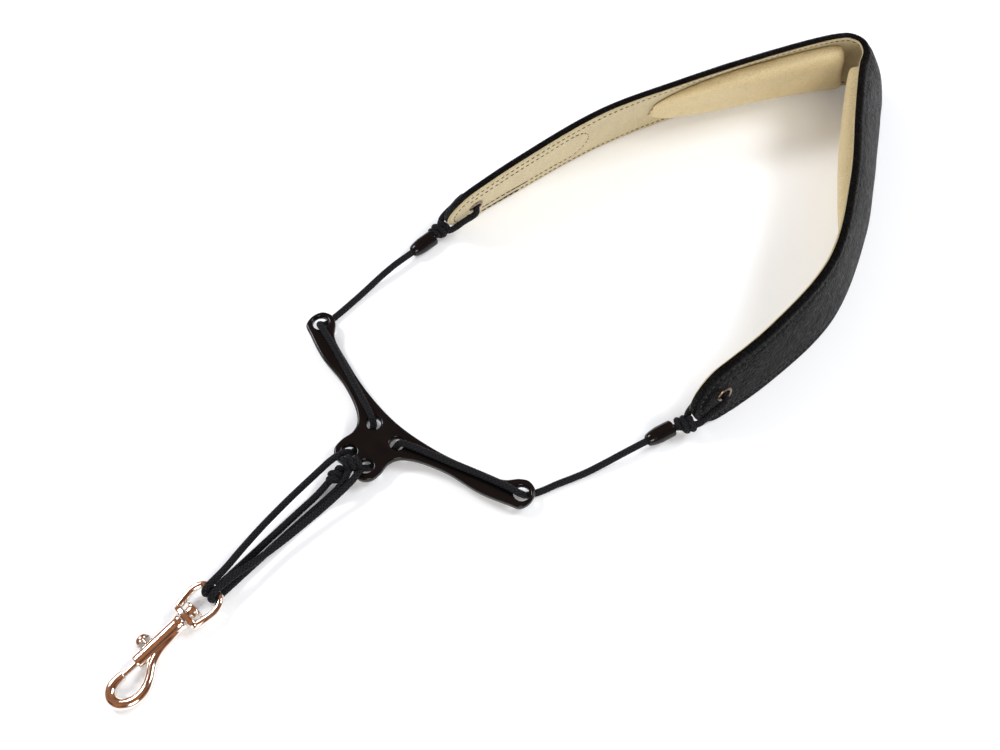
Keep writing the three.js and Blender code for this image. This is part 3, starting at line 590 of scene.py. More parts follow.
# ---- the band's surface, as in the CAD
BAND_WIDTH = 44.0
TIP = 13.0
SECTIONS = np.array([
    [-56.5, 90.5, 6.7, -1.6, 0.59], [-49.4, 127.0, 6.8, -1.2, 0.7], [-40.2, 170.0, 8.7, -2.4, 0.82],
    [-27.8, 205.0, 12.1, -5.5, 0.93], [-9.8, 241.0, 12.3, -6.9, 1], [7.0, 265.0, 8.6, -6.6, 1],
    [21.0, 283.5, 0.4, -14.0, 1], [28.8, 292.0, -4.7, -18.8, 1.03], [34.6, 294.2, -5.8, -20.0, 1.04],
    [39.6, 289.6, -5.5, -19.1, 1.03], [51.5, 270.5, -13.8, -8.1, 1], [65.0, 247.0, -13.9, -7.4, 1],
    [84.0, 210.5, -11.8, -5.5, 1], [96.7, 168.8, -7.8, -1.1, 0.91], [95.4, 128.3, -5.8, 0.7, 0.77],
    [89.6, 98.0, -4.6, 1.6, 0.66], [85.5, 88.0, -2.6, 1.1, 0.59],
])
EDGE = np.column_stack([SECTIONS[:, :2], np.zeros(len(SECTIONS))])
RISE = np.sqrt((BAND_WIDTH * SECTIONS[:, 4]) ** 2 - SECTIONS[:, 2] ** 2 - SECTIONS[:, 3] ** 2)
LOWER = Curve(EDGE)
UPPER = Curve(EDGE + np.column_stack([SECTIONS[:, 2:4], RISE]))
T_FINE = np.linspace(0, 1, 6001)
RUN = lengths(LOWER.at(T_FINE))
LENGTH = RUN[-1]
FOLD = float(np.interp(0.5, T_FINE, RUN))


def band(s, share, out):
    """The band's points: distance from the left tip, height share, and offset outwards."""
    s, share, out = (np.asarray(a, float).ravel() for a in np.broadcast_arrays(s, share, out))
    t = np.interp(s, RUN, T_FINE)
    v = share[:, None]
    along = LOWER.tangent(t) * (1 - v) + UPPER.tangent(t) * v
    normal = np.column_stack([-along[:, 1], along[:, 0], np.zeros(len(t))])
    normal /= np.linalg.norm(normal, axis=1, keepdims=True)
    out = out + bow(s) * 4 * share * (1 - share)
    return LOWER.at(t) * (1 - v) + UPPER.at(t) * v + normal * out[:, None]


BOW_LEFT, BOW_RIGHT, BOW_FOLD = 5.0, 2.5, 2.0


def bow(s):
    """How far the band bellies out half-way up."""
    grown = smoothstep((np.minimum(s, LENGTH - s) - 70) / 80)
    turned = smoothstep(np.abs(s - FOLD) / 30)
    return grown * (BOW_FOLD + (np.where(s < FOLD, BOW_LEFT, BOW_RIGHT) - BOW_FOLD) * turned)


def band_width(s):
    t = np.interp(s, RUN, T_FINE)
    return np.linalg.norm(UPPER.at(t) - LOWER.at(t), axis=1)


def band_face(s):
    """The direction straight out of the band's outer face at a distance from the left tip."""
    t = np.array([np.interp(s, RUN, T_FINE)])
    normal = np.cross((UPPER.at(t) - LOWER.at(t))[0], LOWER.tangent(t)[0])
    return normal / np.linalg.norm(normal)


def rim_distance(s, share):
    """How far a point of the band is from its outline."""
    w = band_width(s)
    y = (share - 0.5) * w
    x = np.clip((TIP - np.minimum(s, LENGTH - s)) / TIP, 0, None)
    return (1 - np.sqrt(x**2 + (y / (w / 2)) ** 2)) * w / 2


def band_outline(inset, count=500):
    """A closed line round the band at a distance inside its outline, as s and height share."""
    straight = np.linspace(TIP, LENGTH - TIP, count)
    turn = np.linspace(-math.pi / 2, math.pi / 2, 24)[1:-1]
    left = TIP - (TIP - inset) * np.cos(turn)
    s = np.concatenate([straight[::-1], left, straight, (LENGTH - left)])
    y = np.concatenate([-np.ones(count), np.sin(turn), np.ones(count), -np.sin(turn)])
    return s, 0.5 + y * (0.5 - inset / band_width(s))


EYELET_AT = {"left": 14.5, "right": LENGTH - 14.5}
STITCH_INSET = 3.0
REINFORCED = 73.0  # where the reinforcement's row of stitches turns back
ROW_INSET = 7.0  # of that row, from the band's edge


# ---- cords
def eyelet_frame(side):
    s = EYELET_AT[side]
    out = band_face(s)
    tip = LOWER.tangent(np.array([np.interp(s, RUN, T_FINE)]))[0]
    if side == "left":
        tip = -tip
    up = np.array([0, 0, 1.0]) - out * out[2]
    up /= np.linalg.norm(up)
    return band([s], [0.5], [0])[0], tip, out, up


def in_eyelet(side, points):
    centre, tip, out, up = eyelet_frame(side)
    return [centre + a * tip + b * out + c * up for a, b, c in points]


# From here each point is [towards the tip, outwards, up] from an eyelet's middle.
LOOP_OUT = BAND_HALF + 0.35 + 0.5 + CORD / 2 + GAP
HALF_LOOP = [
    (13.9, LOOP_OUT - 1.5, -7.9), (11.0, LOOP_OUT - 0.7, -6.1), (7.6, LOOP_OUT - 0.4, -4.0),
    (4.2, LOOP_OUT + 0.2, -2.0), (1.7, LOOP_OUT + 0.1, -0.8), (0.3, 0.6 * LOOP_OUT, 0),
]
KNOT_AT = (17.3, -0.3, -9.2)


def knot(name, centre, axis, turns, radius, pitch, body, node):
    """A tied knot: turns of cord wound round its own axis, with both ends tucked in."""
    axis = np.asarray(axis, float) / np.linalg.norm(axis)
    side = np.cross(axis, [0, 0, 1.0])
    side /= np.linalg.norm(side)
    up = np.cross(side, axis)
    lean = 0.38
    points = []
    for k in range(int(turns * 14) + 1):
        angle = 2 * math.pi * k / 14 + 0.6
        share = k / (turns * 14) - 0.5
        r = radius * (1 - 0.35 * abs(2 * share) ** 6)
        offset = r * (math.cos(angle) * side + math.sin(angle) * up)
        rise = pitch * turns * share + lean * r * math.cos(angle)
        points.append(np.asarray(centre) + offset + axis * rise)
    tuck = [np.asarray(centre) - axis * pitch * 0.2, np.asarray(centre) + axis * pitch * 0.2]
    path = Curve([tuck[0], *points, tuck[1]]).even(0.3)
    obj = tube(name, at(path), 0.96 * CORD / 2 * MM, BRAID)
    assign(obj, body, "braid", node)
    return obj


def make_cords():
    routes = make_cord_routes()
    for side, sign in (("left", -1), ("right", 1)):
        route = routes[side]
        inside = in_eyelet(side, [KNOT_AT])[0]
        outer_half = in_eyelet(side, HALF_LOOP)
        inner_half = in_eyelet(side, [(a, -b, c) for a, b, c in HALF_LOOP])[::-1]
        centre = eyelet_frame(side)[0]
        below = inside + np.array([0, 0, -0.8])
        points = [inside, *outer_half, centre, *inner_half, below, *route["pad"], *route["wing"]]
        path = Curve(points).even(0.35)
        upper = tube(f"{side}_cord", at(path), CORD / 2 * MM, BRAID)
        pad_knot = knot(f"{side}_pad_knot_tied", inside, np.subtract(route["pad"][0], inside),
                        2.3, 2.6, 2.5, "neck_band", f"{side}_pad_knot")
        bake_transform(upper)
        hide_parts(f"{side}_eyelet_loop", f"{side}_pad_cord", f"{side}_wing_cord")

        path = Curve(route["loop"]).even(0.35)
        loop = tube(f"{side}_loop_cord", at(path), CORD / 2 * MM, BRAID)
        end = route["loop"][-1]
        end_knot = knot(f"{side}_end_knot_tied", end, (0.5 * sign, 1, 0.1), 2.2, 2.35, 2.3,
                        "adjuster", f"{side}_end_knot")
        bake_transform(loop)
        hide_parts(f"{side}_upper_strand", f"{side}_lower_strand", f"{side}_bight")


make_cords()


# ---- the band's leathers
def leather_stations():
    turn = np.linspace(0, math.pi / 2, 16)
    end = 0.05 + TIP * (1 - np.cos(turn))
    fold = FOLD + np.linspace(-20, 20, 56)
    left = np.linspace(TIP + 1.2, FOLD - 21, 150)
    return np.concatenate([end, left, fold, LENGTH - left[::-1], LENGTH - end[::-1]])


def make_leather(name, node, material, sign, slot):
    """One face of the band as a closed sheet: its edge is turned and its stitched line is sunk.
    The outer leather wraps most of the band's edge, and the lining stops a little inside it."""
    inset, parting = (0.0, -1.0) if sign > 0 else (0.7, 1.04)
    s = leather_stations()
    q = np.sin(np.linspace(-1, 1, 47) * math.pi / 2 * 0.93) / math.sin(math.pi / 2 * 0.93)
    grid_s, grid_q = np.meshgrid(s, q, indexing="ij")
    e = np.minimum(grid_s, LENGTH - grid_s)
    half = 0.5 * np.sqrt(np.clip(1 - np.clip((TIP - e) / TIP, 0, 1) ** 2, 0, 1))
    share = 0.5 + half * grid_q * (1 - 2 * inset / BAND_WIDTH)
    d = np.clip(rim_distance(grid_s.ravel(), share.ravel()).reshape(share.shape), 0, None)
    turned = 0.95  # radius of the turned edge
    inner_d = np.clip(d - inset, 0, turned)
    edge = turned * (1 - np.sqrt(1 - (1 - inner_d / turned) ** 2))
    groove = 0.34 * np.exp(-(((d - STITCH_INSET) / 0.6) ** 2))
    width = band_width(grid_s.ravel()).reshape(share.shape)
    y = (share - 0.5) * width
    wave = np.sin(grid_s * 0.21 + 0.5 * np.sin(y * 0.3)) * np.sin(y * 0.24 + grid_s * 0.05)
    plump = 0.3 * smoothstep((d - STITCH_INSET) / 4) + 0.14 * wave * smoothstep(d / 6)
    if sign < 0:
        plump = 0.10 * wave * smoothstep(d / 6)
    # the reinforcement's stitches pull the faces in too
    for run in (grid_s, LENGTH - grid_s):
        u = u_distance(run, y, width)
        groove = np.maximum(groove, 0.26 * np.exp(-((u / 0.55) ** 2)))
    face = BAND_HALF - edge - groove + plump
    back = 0.78 + (parting - 0.78) * (1 - smoothstep((d - 1.6) / 0.8))
    outer = band(grid_s, share, sign * face)
    inner = band(grid_s, share, sign * back)
    obj = new_object(name, at(np.vstack([outer, inner])), slab_faces(*share.shape), material, sharp=60)
    outward(obj.data)
    for distance in EYELET_AT.values():
        cut_hole(obj, band([distance], [0.5], [0])[0], band_face(distance), 2.75)
    crease(obj.data, 60)
    assign(obj, "neck_band", slot, node)


def u_distance(run, y, width):
    """Distance from the U-shaped row of stitches that holds the reinforcement."""
    reach = 0.5 * width - ROW_INSET
    bend = REINFORCED - ROW_INSET
    straight = np.abs(np.abs(y) - reach)
    round_end = np.abs(np.hypot(run - bend, y) - reach)
    return np.where(run < bend, np.where(run > 9, straight, 9.0), round_end)


def cut_hole(obj, centre, direction, radius):
    direction = Vector(direction)
    turn = Vector((0, 0, 1)).rotation_difference(direction).to_matrix().to_4x4()
    place = Matrix.Translation(Vector(at(centre))) @ turn
    bm = bmesh.new()
    bmesh.ops.create_cone(bm, cap_ends=True, segments=40, radius1=radius * MM, radius2=radius * MM,
                          depth=14 * MM, matrix=place)
    mesh = bpy.data.meshes.new("cutter")
    bm.to_mesh(mesh)
    bm.free()
    cut(obj, linked("cutter", mesh))


STITCH_PITCH = 2.7
STITCH_PROFILE = [  # [share of half its length, lift, radius]
    (-1.0, -0.42, 0.16), (-0.82, -0.05, 0.25), (-0.4, 0.12, 0.3),
    (0.4, 0.12, 0.3), (0.82, -0.05, 0.25), (1.0, -0.42, 0.16),
]


def stitches(name, s, share, out, sign, material, long=1.8, closed=True, thick=0.85):
    """A row of stitches along a line on the band: short bowed threads that dive in at both ends."""
    line = band(s, share, out)
    if closed:
        line = np.vstack([line, line[:1]])
        s, share, out = (np.append(a, a[0]) for a in (s, share, out))
    run = lengths(line)
    count = int(run[-1] / STITCH_PITCH)
    middles = (np.arange(count) + 0.5) * run[-1] / count
    verts, faces = [], []
    normal_line = band(s, share, np.asarray(out) + sign) - line
    for k, m in enumerate(middles):
        jitter = 0.12 * math.sin(k * 12.9898) + 0.05 * math.sin(k * 4.1)
        rings = []
        for a, lift, r in STITCH_PROFILE:
            where = m + jitter + a * long / 2
            p = np.array([np.interp(where, run, line[:, i]) for i in range(3)])
            n = np.array([np.interp(where, run, normal_line[:, i]) for i in range(3)])
            n /= np.linalg.norm(n)
            rings.append((p, n, lift, r))
        along = rings[-1][0] - rings[0][0]
        along /= np.linalg.norm(along)
        base = len(verts)
        for p, n, lift, r in rings:
            b = np.cross(along, n)
            b /= np.linalg.norm(b)
            for j in range(6):
                w = 2 * math.pi * j / 6
                verts.append(at(p + n * lift + thick * r * (math.cos(w) * n + 1.15 * math.sin(w) * b)))
        faces += [tuple(base + i for i in f) for f in grid_faces(len(rings), 6, wrap=True)]
        faces.append(tuple(base + j for j in range(5, -1, -1)))
        faces.append(tuple(base + 6 * (len(rings) - 1) + j for j in range(6)))
    obj = new_object(name, verts, faces, material)
    assign(obj, "neck_band", "webbing")


def u_line(side):
    """The reinforcement's U-shaped line, as s and height share."""
    bend = REINFORCED - ROW_INSET
    run = np.linspace(10, bend, 80)
    width = band_width(run if side == "left" else LENGTH - run)
    reach = 0.5 * width - ROW_INSET
    turn = np.linspace(-math.pi / 2, math.pi / 2, 30)[1:-1]
    r = reach[-1]
    u = np.concatenate([run, bend + r * np.cos(turn), run[::-1]])
    y = np.concatenate([-reach, r * np.sin(turn), reach[::-1]])
    s = u if side == "left" else LENGTH - u
    return s, 0.5 + y / band_width(s)


def make_band():
    make_leather("outer_leather_panel", "outer_leather", BLACK_LEATHER, 1, "black_leather")
    make_leather("lining_panel", "lining", LINING, -1, "gold_leather")
    s, share = band_outline(STITCH_INSET)
    depth = BAND_HALF - 0.3
    stitches("outer_edge_stitches", s, share, np.full(len(s), depth + 0.02), 1, BLACK_THREAD)
    stitches("lining_edge_stitches", s, share, np.full(len(s), -depth - 0.02), -1, BROWN_THREAD)
    for side in ("left", "right"):
        s, share = u_line(side)
        for face, sign, thread_material in (("outer", 1, BLACK_THREAD), ("lining", -1, BROWN_THREAD)):
            out = np.full(len(s), sign * (BAND_HALF - (0.02 if sign > 0 else 0.22)))
            stitches(f"{side}_{face}_u_stitches", s, share, out, sign, thread_material, closed=False)
    # heavier stitches that fasten the reinforcement, just past the left eyelet
    rows = ((1, STITCH_INSET, 19.0, 40.0, 1.15), (2, ROW_INSET, 20.0, 44.0, 0.75))
    for number, inset, first, last, thick in rows:
        s = np.linspace(first, last, 40)
        share = inset / band_width(s)
        out = np.full(len(s), -(BAND_HALF - 0.12))
        stitches(f"left_tack_stitches_{number}", s, share, out, -1, BLACK_THREAD, closed=False,
                 long=2.5, thick=thick)


make_band()


# ---- cushions
CUSHION_NEAR, CUSHION_FAR = 16.0, 120.0  # distances of a cushion's ends from the fold
CUSHION_TAPER = 44.0
CUSHION_DEPTH = 9.8
CUSHION_LIFT = -2.0  # it lies below the band's middle


def cushion_shell(side, shrink):
    """The cushion as a closed block: flat against the lining, crowned in front."""
    sign = -1 if side == "left" else 1
    across = np.linspace(-1, 1, 25)
    length = CUSHION_FAR - CUSHION_NEAR
    along = np.concatenate([[0.0, 0.35, 1.0, 2.0, 3.4], np.linspace(5.5, length - 7, 44),
                            length - np.array([5.0, 3.2, 1.8, 0.8, 0.2, 0.0])])
    a, q = np.meshgrid(along, across, indexing="ij")
    toward = np.clip((length - a) / CUSHION_TAPER, 0, 1)
    s = FOLD + sign * (CUSHION_NEAR + a)
    width = band_width(s.ravel()).reshape(a.shape)
    tip_round = np.sqrt(1 - np.clip((15 - (length - a)) / 15, 0, 1) ** 2)
    half = (0.5 * width - 4.6 - shrink - 5.5 * (1 - toward) ** 1.6) * (0.35 + 0.65 * tip_round)
    share = 0.5 + (half * q + CUSHION_LIFT) / width
    edge_across = np.sqrt(1 - np.abs(q) ** 7)
    edge_near = np.sqrt(1 - np.clip(1 - a / 4.0, 0, 1) ** 2)
    depth = (CUSHION_DEPTH - shrink) * (toward * (2 - toward)) ** 0.8 * edge_near * edge_across
    depth *= 1 - 0.1 * q**2
    front = band(s, share, -(BAND_HALF + 0.15 + np.maximum(depth, 0.02)))
    back = band(s, share, -(BAND_HALF + 0.1))
    return at(np.vstack([front, back])), slab_faces(*a.shape)


def wall_behind(side):
    """The lining's face behind a cushion, to hold the cushion's back flat."""
    sign = -1 if side == "left" else 1
    s = FOLD + sign * np.linspace(4, CUSHION_FAR + 8, 90)
    grid_s, grid_v = np.meshgrid(s, np.linspace(0, 1, 20), indexing="ij")
    verts = at(band(grid_s, grid_v, -(BAND_HALF + 0.12)))
    return BVHTree.FromPolygons([Vector(v) for v in verts], grid_faces(len(s), 20))


CLOTH_FRAMES = 20


def inflate(obj, cap, voxel):
    """Voxel remesh and cloth pressure, with a cap on how far a point may move."""
    voxel_remesh(obj, voxel)
    applied(obj)
    rest = np.array([v.co for v in obj.data.vertices])
    cloth = obj.modifiers.new("cloth", "CLOTH")
    settings = cloth.settings
    settings.quality, settings.mass = 5, 0.15
    settings.tension_stiffness = settings.compression_stiffness = 25
    settings.bending_stiffness = 2.0
    settings.use_pressure, settings.uniform_pressure_force = True, 4.0
    settings.effector_weights.gravity = 0
    cloth.point_cache.frame_start, cloth.point_cache.frame_end = 1, CLOTH_FRAMES
    scene = bpy.context.scene
    for number in range(1, CLOTH_FRAMES + 1):
        scene.frame_set(number)
    graph = bpy.context.evaluated_depsgraph_get()
    moved = np.array([v.co for v in obj.evaluated_get(graph).data.vertices])
    obj.modifiers.clear()
    scene.frame_set(1)
    delta = moved - rest
    far = np.linalg.norm(delta, axis=1, keepdims=True)
    delta *= np.minimum(1, cap / np.maximum(far, 1e-9))
    return rest + delta


def make_cushion(side):
    verts, faces = cushion_shell(side, 0.7)
    obj = new_object(f"{side}_cushion", verts, faces, CUSHION)
    outward(obj.data)
    placed = inflate(obj, cap=1.1 * MM, voxel=1.3 * MM)
    wall = wall_behind(side)
    inward = Vector(at((20, 150, 20)))
    for vertex, co in zip(obj.data.vertices, placed):
        point = Vector(co)
        near, normal, *_ = wall.find_nearest(point)
        if normal.dot(inward - near) < 0:
            normal = -normal
        height = (point - near).dot(normal)
        if height < 0.0:
            point -= normal * height
        vertex.co = point
    soften(obj, 6)
    finer = obj.modifiers.new("finer", "SUBSURF")
    finer.levels = finer.render_levels = 1
    applied(obj)
    obj.data.materials.clear()
    obj.data.materials.append(CUSHION)
    obj.data.shade_smooth()
    assign(obj, "neck_band", "gold_leather", f"{side}_cushion_cover", f"{side}_cushion_foam")


for side in ("left", "right"):
    make_cushion(side)


# ---- eyelets
def make_eyelet(side):
    s = EYELET_AT[side]
    centre, out = band([s], [0.5], [0])[0], band_face(s)
    turn = Vector((0, 1, 0)).rotation_difference(Vector(out)).to_matrix().to_4x4()
    place = Matrix.Translation(Vector(at(centre))) @ turn
    face = BAND_HALF + 0.25
    rim = [(2.3, -face), (2.3, face - 0.2), (2.45, face + 0.35), (2.8, face + 0.55), (3.3, face + 0.35),
           (3.6, face), (3.6, face - 0.3), (2.7, face - 0.35), (2.7, -face), (2.3, -face)]
    eyelet = lathe(f"{side}_eyelet_ring", rounded(rim, 0.2), EYELET, matrix=place)
    ring = [(2.75, -face + 0.3), (3.6, -face + 0.3), (3.6, -face), (3.3, -face - 0.3),
            (2.7, -face - 0.55), (2.35, -face - 0.4), (2.3, -face), (2.75, -face + 0.3)]
    washer = lathe(f"{side}_eyelet_back", rounded(ring, 0.15), EYELET, matrix=place)
    for obj, node in ((eyelet, f"{side}_eyelet"), (washer, f"{side}_eyelet_washer")):
        assign(obj, "neck_band", "eyelet_brass", node)


for side in ("left", "right"):
    make_eyelet(side)


# ---- sleeves
def make_sleeve(side, nose, turn):
    profile = [(1.75, 0.6), (1.85, 0.15), (2.1, 0.0), (2.5, 0.3), (2.9, 1.5), (3.25, 3.3), (3.5, 5.4),
               (3.5, 11.4), (3.3, 11.8), (2.1, 11.8), (1.75, 11.5), (1.75, 0.6)]
    place = Matrix.Translation(Vector(at((*nose, SLEEVE_Z)))) @ Matrix.Rotation(math.radians(turn), 4, "Z")
    obj = lathe(f"{side}_sleeve_bullet", rounded(profile, 0.25), GLOSS, matrix=place, sharp=50)
    assign(obj, f"{side}_sleeve", "black_metal", f"{side}_sleeve")


make_sleeve("left", (-56.35, 71.5), -4.8)
make_sleeve("right", (78.1, 70.0), -17.6)


# ---- adjuster plate
def plate_outline():
    x, y = TIP_HOLE
    tip = 5.9
    half = [
        (0, 6.4), (0.33 * x, 8.4), (0.62 * x, 12.8), (0.84 * x, y - 0.6), (x - 4.6, y + 4.2),
        (x - 1.2, y + tip), (x + 3.2, y + 0.75 * tip), (x + 0.85 * tip, y),
        (x + 0.62 * tip, y - 0.82 * tip), (x - 1, y - tip - 1),
        (0.78 * x, 7), (0.5 * x, 4.2), (0.28 * x, -0.8), (11.6, -4.6), (10.2, -8.4),
        (10.9, -13.5), (10.2, -18.2), (7.4, -20.8), (4, -20.9), (1.6, -19.8),
    ]
    points = half + [(-a, b) for a, b in half[:0:-1]]
    curve = Curve([(a, b, 0) for a, b in points], closed=True)
    return curve.at(np.linspace(0, 1, 361)[:-1])


def make_plate():
    data = bpy.data.curves.new("plate", "CURVE")
    data.dimensions = "2D"
    data.fill_mode = "BOTH"
    edge = 0.85  # radius of the plate's edges
    data.extrude = (PLATE_THICKNESS / 2 - edge) * MM
    data.bevel_depth = edge * MM
    data.bevel_resolution = 6
    data.offset = -edge * MM
    holes = [(*TIP_HOLE, 3.3), (6.65, 0.0, 2.9), (4.8, -15.4, 2.9)]
    lines = [plate_outline()]
    for x, y, r in holes:
        for sign in (-1, 1):
            w = np.arange(64) * 2 * math.pi / 64
            lines.append(np.column_stack([sign * x + r * np.cos(w), y + r * np.sin(w), 0 * w]))
    for line in lines:
        spline = data.splines.new("POLY")
        spline.points.add(len(line) - 1)
        flat = np.zeros(len(line))
        spline.points.foreach_set("co", np.column_stack([at(line)[:, :2], flat, flat + 1]).ravel())
        spline.use_cyclic_u = True
    maker = linked("plate_maker", data)
    graph = bpy.context.evaluated_depsgraph_get()
    mesh = bpy.data.meshes.new_from_object(maker.evaluated_get(graph))
    bpy.data.objects.remove(maker)
    mesh.transform(Matrix.Translation((0, 0, (PLATE_BOTTOM + PLATE_THICKNESS / 2) * MM)))
    outward(mesh, merge=2e-6)
    mesh.materials.clear()
    mesh.materials.append(GLOSS)
    crease(mesh, 32)
    assign(linked("wing_plate", mesh), "adjuster", "black_metal", "adjuster_plate")


make_plate()


# ---- snap hook
# The hook's own frame, as in the CAD: the eye's bar on the origin, the hook along -Y.
HOOK = Matrix.Translation(Vector(at((0, *EYE_BAR)))) @ Matrix.Rotation(math.radians(2.3), 4, "X")
HOOK_CREASE = 38


def mm_lathe(profile):
    return lathe("part", profile, PLATED, sides=48)


def fused(name, pieces, cutters):
    """Pieces cast into one metal body, with their junctions filleted, and then cut."""
    obj = joined(name, pieces, PLATED)
    voxel_remesh(obj, 0.2 * MM)
    soften(obj, 4)
    applied(obj)
    for cutter in cutters:
        cut(obj, cutter)
    obj.data.materials.clear()
    obj.data.materials.append(PLATED)
    obj.data.transform(HOOK)
    crease(obj.data, HOOK_CREASE)
    return obj


def make_eye():
    half, drop = 6.4, 13.4
    leg = [(0.72 * half, -0.1 * drop, 0), (half, -0.4 * drop, 0), (0.94 * half, -0.72 * drop, 0),
           (0.82 * half, -drop, 0)]
    legs = Curve([*((-x, y, z) for x, y, z in leg[::-1]), (0, 0, 0), *leg]).even(0.3)
    swell = EYE_WIRE + 0.2 * smoothstep((-legs[:, 1] - 7) / 6)
    wire = tube("wire", legs * MM, swell * MM, PLATED, sides=28)
    profile = [(0, -12.8), (0.86, -12.8), (1.0, -13.3), (1.0, -15.0), (0.84, -15.5), (0, -15.5)]
    base = mm_lathe(rounded(profile, 0.1))
    base.data.transform(Matrix.Diagonal((6.3, 1, 2.9, 1)))
    bore = mm_lathe([(0, -9), (2.0, -9), (2.0, -20), (0, -20)])
    eye = fused("swivel_eye_ring", [wire, base], [bore])
    assign(eye, "eye", "rose_gold", "swivel_eye")


def make_post():
    head_top = 12.8 - 2.3 - 1.2
    head = [(0, -head_top), (3.7, -head_top), (4.2, -head_top - 0.35), (4.2, -head_top - 0.9),
            (3.8, -head_top - 1.2), (2.8, -head_top - 1.3), (2.8, -12.5), (1.7, -12.5), (1.7, -15.6),
            (0, -15.6)]
    obj = mm_lathe(rounded(head, 0.3))
    obj.data.transform(Matrix.Diagonal((1, 1, 0.8, 1)))
    obj.data.transform(HOOK)
    obj.name = "swivel_rivet"
    assign(obj, "hook", "rose_gold", "swivel_post")


def make_body():
    shoulder = [(0, -15.8), (3.2, -15.8), (3.5, -16.1), (3.5, -17.1), (3.2, -17.5), (3.05, -18.6),
                (3.0, -20.5), (3.0, -37.2), (2.85, -37.5), (0, -37.5)]
    barrel = mm_lathe(rounded(shoulder, 0.25))
    line = Curve([
        (1.4, -19.0, 0), (1.9, -23.5, 0), (2.5, -28.5, 0), (4.5, -33.5, 0), (7.9, -37.8, 0),
        (10.2, -42.2, 0), (9.9, -47.2, 0), (6.9, -51.0, 0), (3.2, -51.6, 0), (0.5, -49.4, 0),
        (-0.3, -46.4, 0), (-0.2, -43.3, 0),
    ]).even(0.3)
    run = lengths(line) / lengths(line)[-1]
    thick = 1.8 + 0.45 * smoothstep((run - 0.2) / 0.5) - 0.2 * smoothstep((run - 0.86) / 0.14)
    loop = tube("loop", line * MM, thick * MM, PLATED, sides=28)
    bore = mm_lathe([(0, -20), (1.55, -20), (1.55, -39), (0, -39)])
    notch = mm_lathe([(0, -37.6), (1.5, -37.6), (1.5, -44.25), (0, -44.25)])
    corners = [(x * MM, y * MM, z * MM) for x in (-5, 0.1) for y in (-31.7, -22.9) for z in (-1.0, 1.0)]
    sides = [(0, 1, 3, 2), (4, 6, 7, 5), (0, 4, 5, 1), (2, 3, 7, 6), (0, 2, 6, 4), (1, 5, 7, 3)]
    slot = new_object("slot", corners, sides, PLATED)
    body = fused("hook_casting", [barrel, loop], [bore, notch, slot])
    assign(body, "hook", "rose_gold", "hook_body")


def make_bolt():
    profile = [(0, -27), (1.1, -27), (1.2, -27.1), (1.2, -43.4), (1.0, -43.8), (0, -43.9)]
    rod = mm_lathe(rounded(profile, 0.1))
    sideways = Matrix.Translation((0, -30.6 * MM, 0)) @ Matrix.Rotation(math.pi / 2, 4, "Z")
    stem = mm_lathe([(0, 0), (0.8, 0), (0.8, 4.8), (0, 4.8)])
    stem.data.transform(sideways)
    bolt = joined("spring_bolt", [rod, stem], PLATED)
    bolt.data.transform(HOOK)
    crease(bolt.data, HOOK_CREASE)
    assign(bolt, "plunger", "rose_gold", "plunger_bolt")
    cap = [(0.85, 4.1), (2.7, 4.1), (3.15, 4.3), (3.2, 5.0), (3.0, 5.7), (2.5, 6.4), (1.7, 7.0),
           (0.9, 7.25), (0, 7.3)]
    knob = mm_lathe(rounded([(0, 5.2), (0.85, 5.2), *cap], 0.25))
    knob.data.transform(sideways)
    knob.data.transform(HOOK)
    knob.name = "thumb_button"
    assign(knob, "plunger", "rose_gold", "thumb_knob")


make_eye()
make_post()
make_body()
make_bolt()


# ---- CAD pieces that stay
def dress(node, material):
    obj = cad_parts[node]
    if not obj.material_slots:
        obj.data.materials.append(material)
    for holder in obj.material_slots:
        holder.material = material


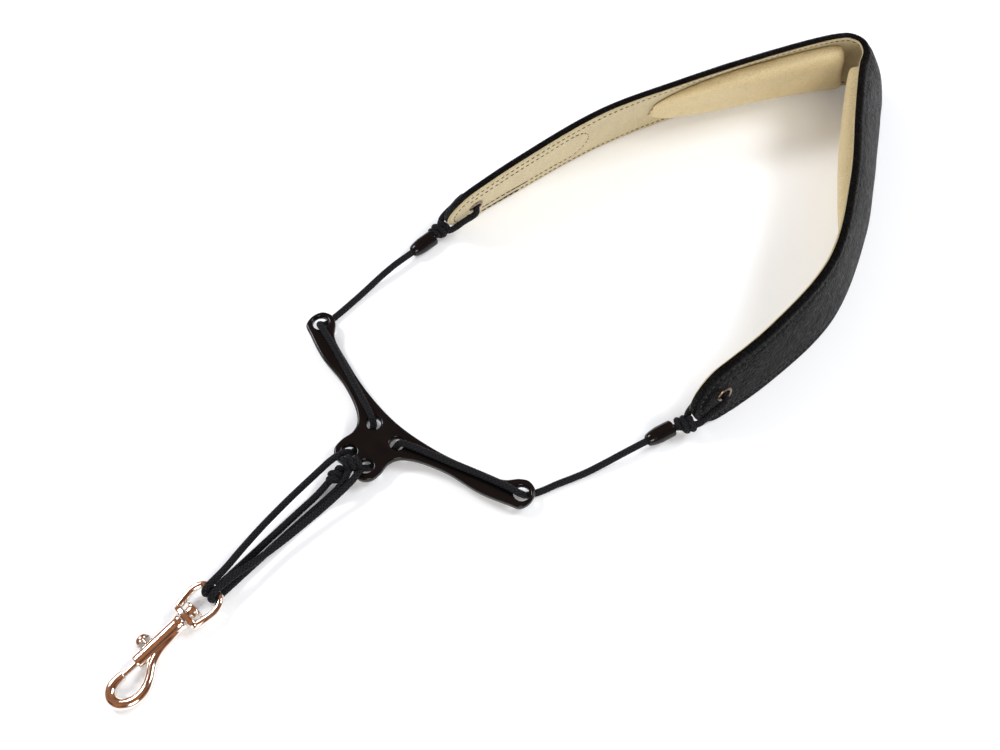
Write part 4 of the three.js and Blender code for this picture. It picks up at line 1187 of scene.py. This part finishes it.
for node, material in (("felt_core", FELT), ("left_webbing", WEBBING),
                       ("right_webbing", WEBBING), ("plunger_spring", SPRING)):
    dress(node, material)
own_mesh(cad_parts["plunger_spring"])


# ---- floor and lights
def make_floor():
    s = Shader("paper", (0.93, 0.93, 0.93), 0.6, Emission_Color=(1, 1, 1, 1),
               Emission_Strength=0.12)
    where = s.place()
    s.set(Base_Color=s.mix(s.noise(where, 8.0), (0.92, 0.92, 0.92), (0.95, 0.95, 0.95)))
    corners = [(-3, -3, 0), (3, -3, 0), (3, 3, 0), (-3, 3, 0)]
    floor = new_object("floor", corners, [(0, 1, 2, 3)], s.material)
    floor.location.z = -0.00002


def area_light(name, where, aim, size, energy, color):
    data = bpy.data.lights.new(name, "AREA")
    data.shape = "RECTANGLE"
    data.size, data.size_y = size
    data.energy = energy
    data.color = color
    obj = linked(name, data)
    obj.location = where
    obj.rotation_euler = (Vector(aim) - Vector(where)).to_track_quat("-Z", "Y").to_euler()


def make_world():
    """White light from all round, and a brown room for shiny things to mirror."""
    world = bpy.data.worlds.new("studio")
    bpy.context.scene.world = world
    world.use_nodes = True
    nodes, link = world.node_tree.nodes, world.node_tree.links.new
    noise = nodes.new("ShaderNodeTexNoise")
    noise.inputs["Scale"].default_value = 2.4
    link(nodes.new("ShaderNodeTexCoord").outputs["Generated"], noise.inputs["Vector"])
    contrast = nodes.new("ShaderNodeMapRange")
    contrast.inputs[1].default_value, contrast.inputs[2].default_value = 0.4, 0.6
    link(noise.outputs[0], contrast.inputs[0])
    room, seen = nodes.new("ShaderNodeMix"), nodes.new("ShaderNodeMix")
    room.data_type = seen.data_type = "RGBA"
    room.inputs[6].default_value = (0.09, 0.032, 0.014, 1)
    room.inputs[7].default_value = (0.42, 0.17, 0.075, 1)
    seen.inputs[6].default_value = (0.4, 0.4, 0.42, 1)
    link(contrast.outputs[0], room.inputs[0])
    link(nodes.new("ShaderNodeLightPath").outputs["Is Glossy Ray"], seen.inputs[0])
    link(room.outputs[2], seen.inputs[7])
    link(seen.outputs[2], nodes["Background"].inputs[0])


def make_lights():
    area_light("back_left", (-1.0, -0.2, 1.05), (0, 0.02, 0), (0.45, 0.35), 12, (0.95, 0.97, 1.0))
    area_light("back_right", (0.55, 0.95, 1.1), (0, 0.02, 0), (0.6, 0.4), 12, (0.9, 0.95, 1.0))
    area_light("front_right", (1.15, -0.85, 0.95), (0, 0, 0), (0.7, 0.5), 13, (1.0, 0.97, 0.92))


make_floor()
make_world()
make_lights()
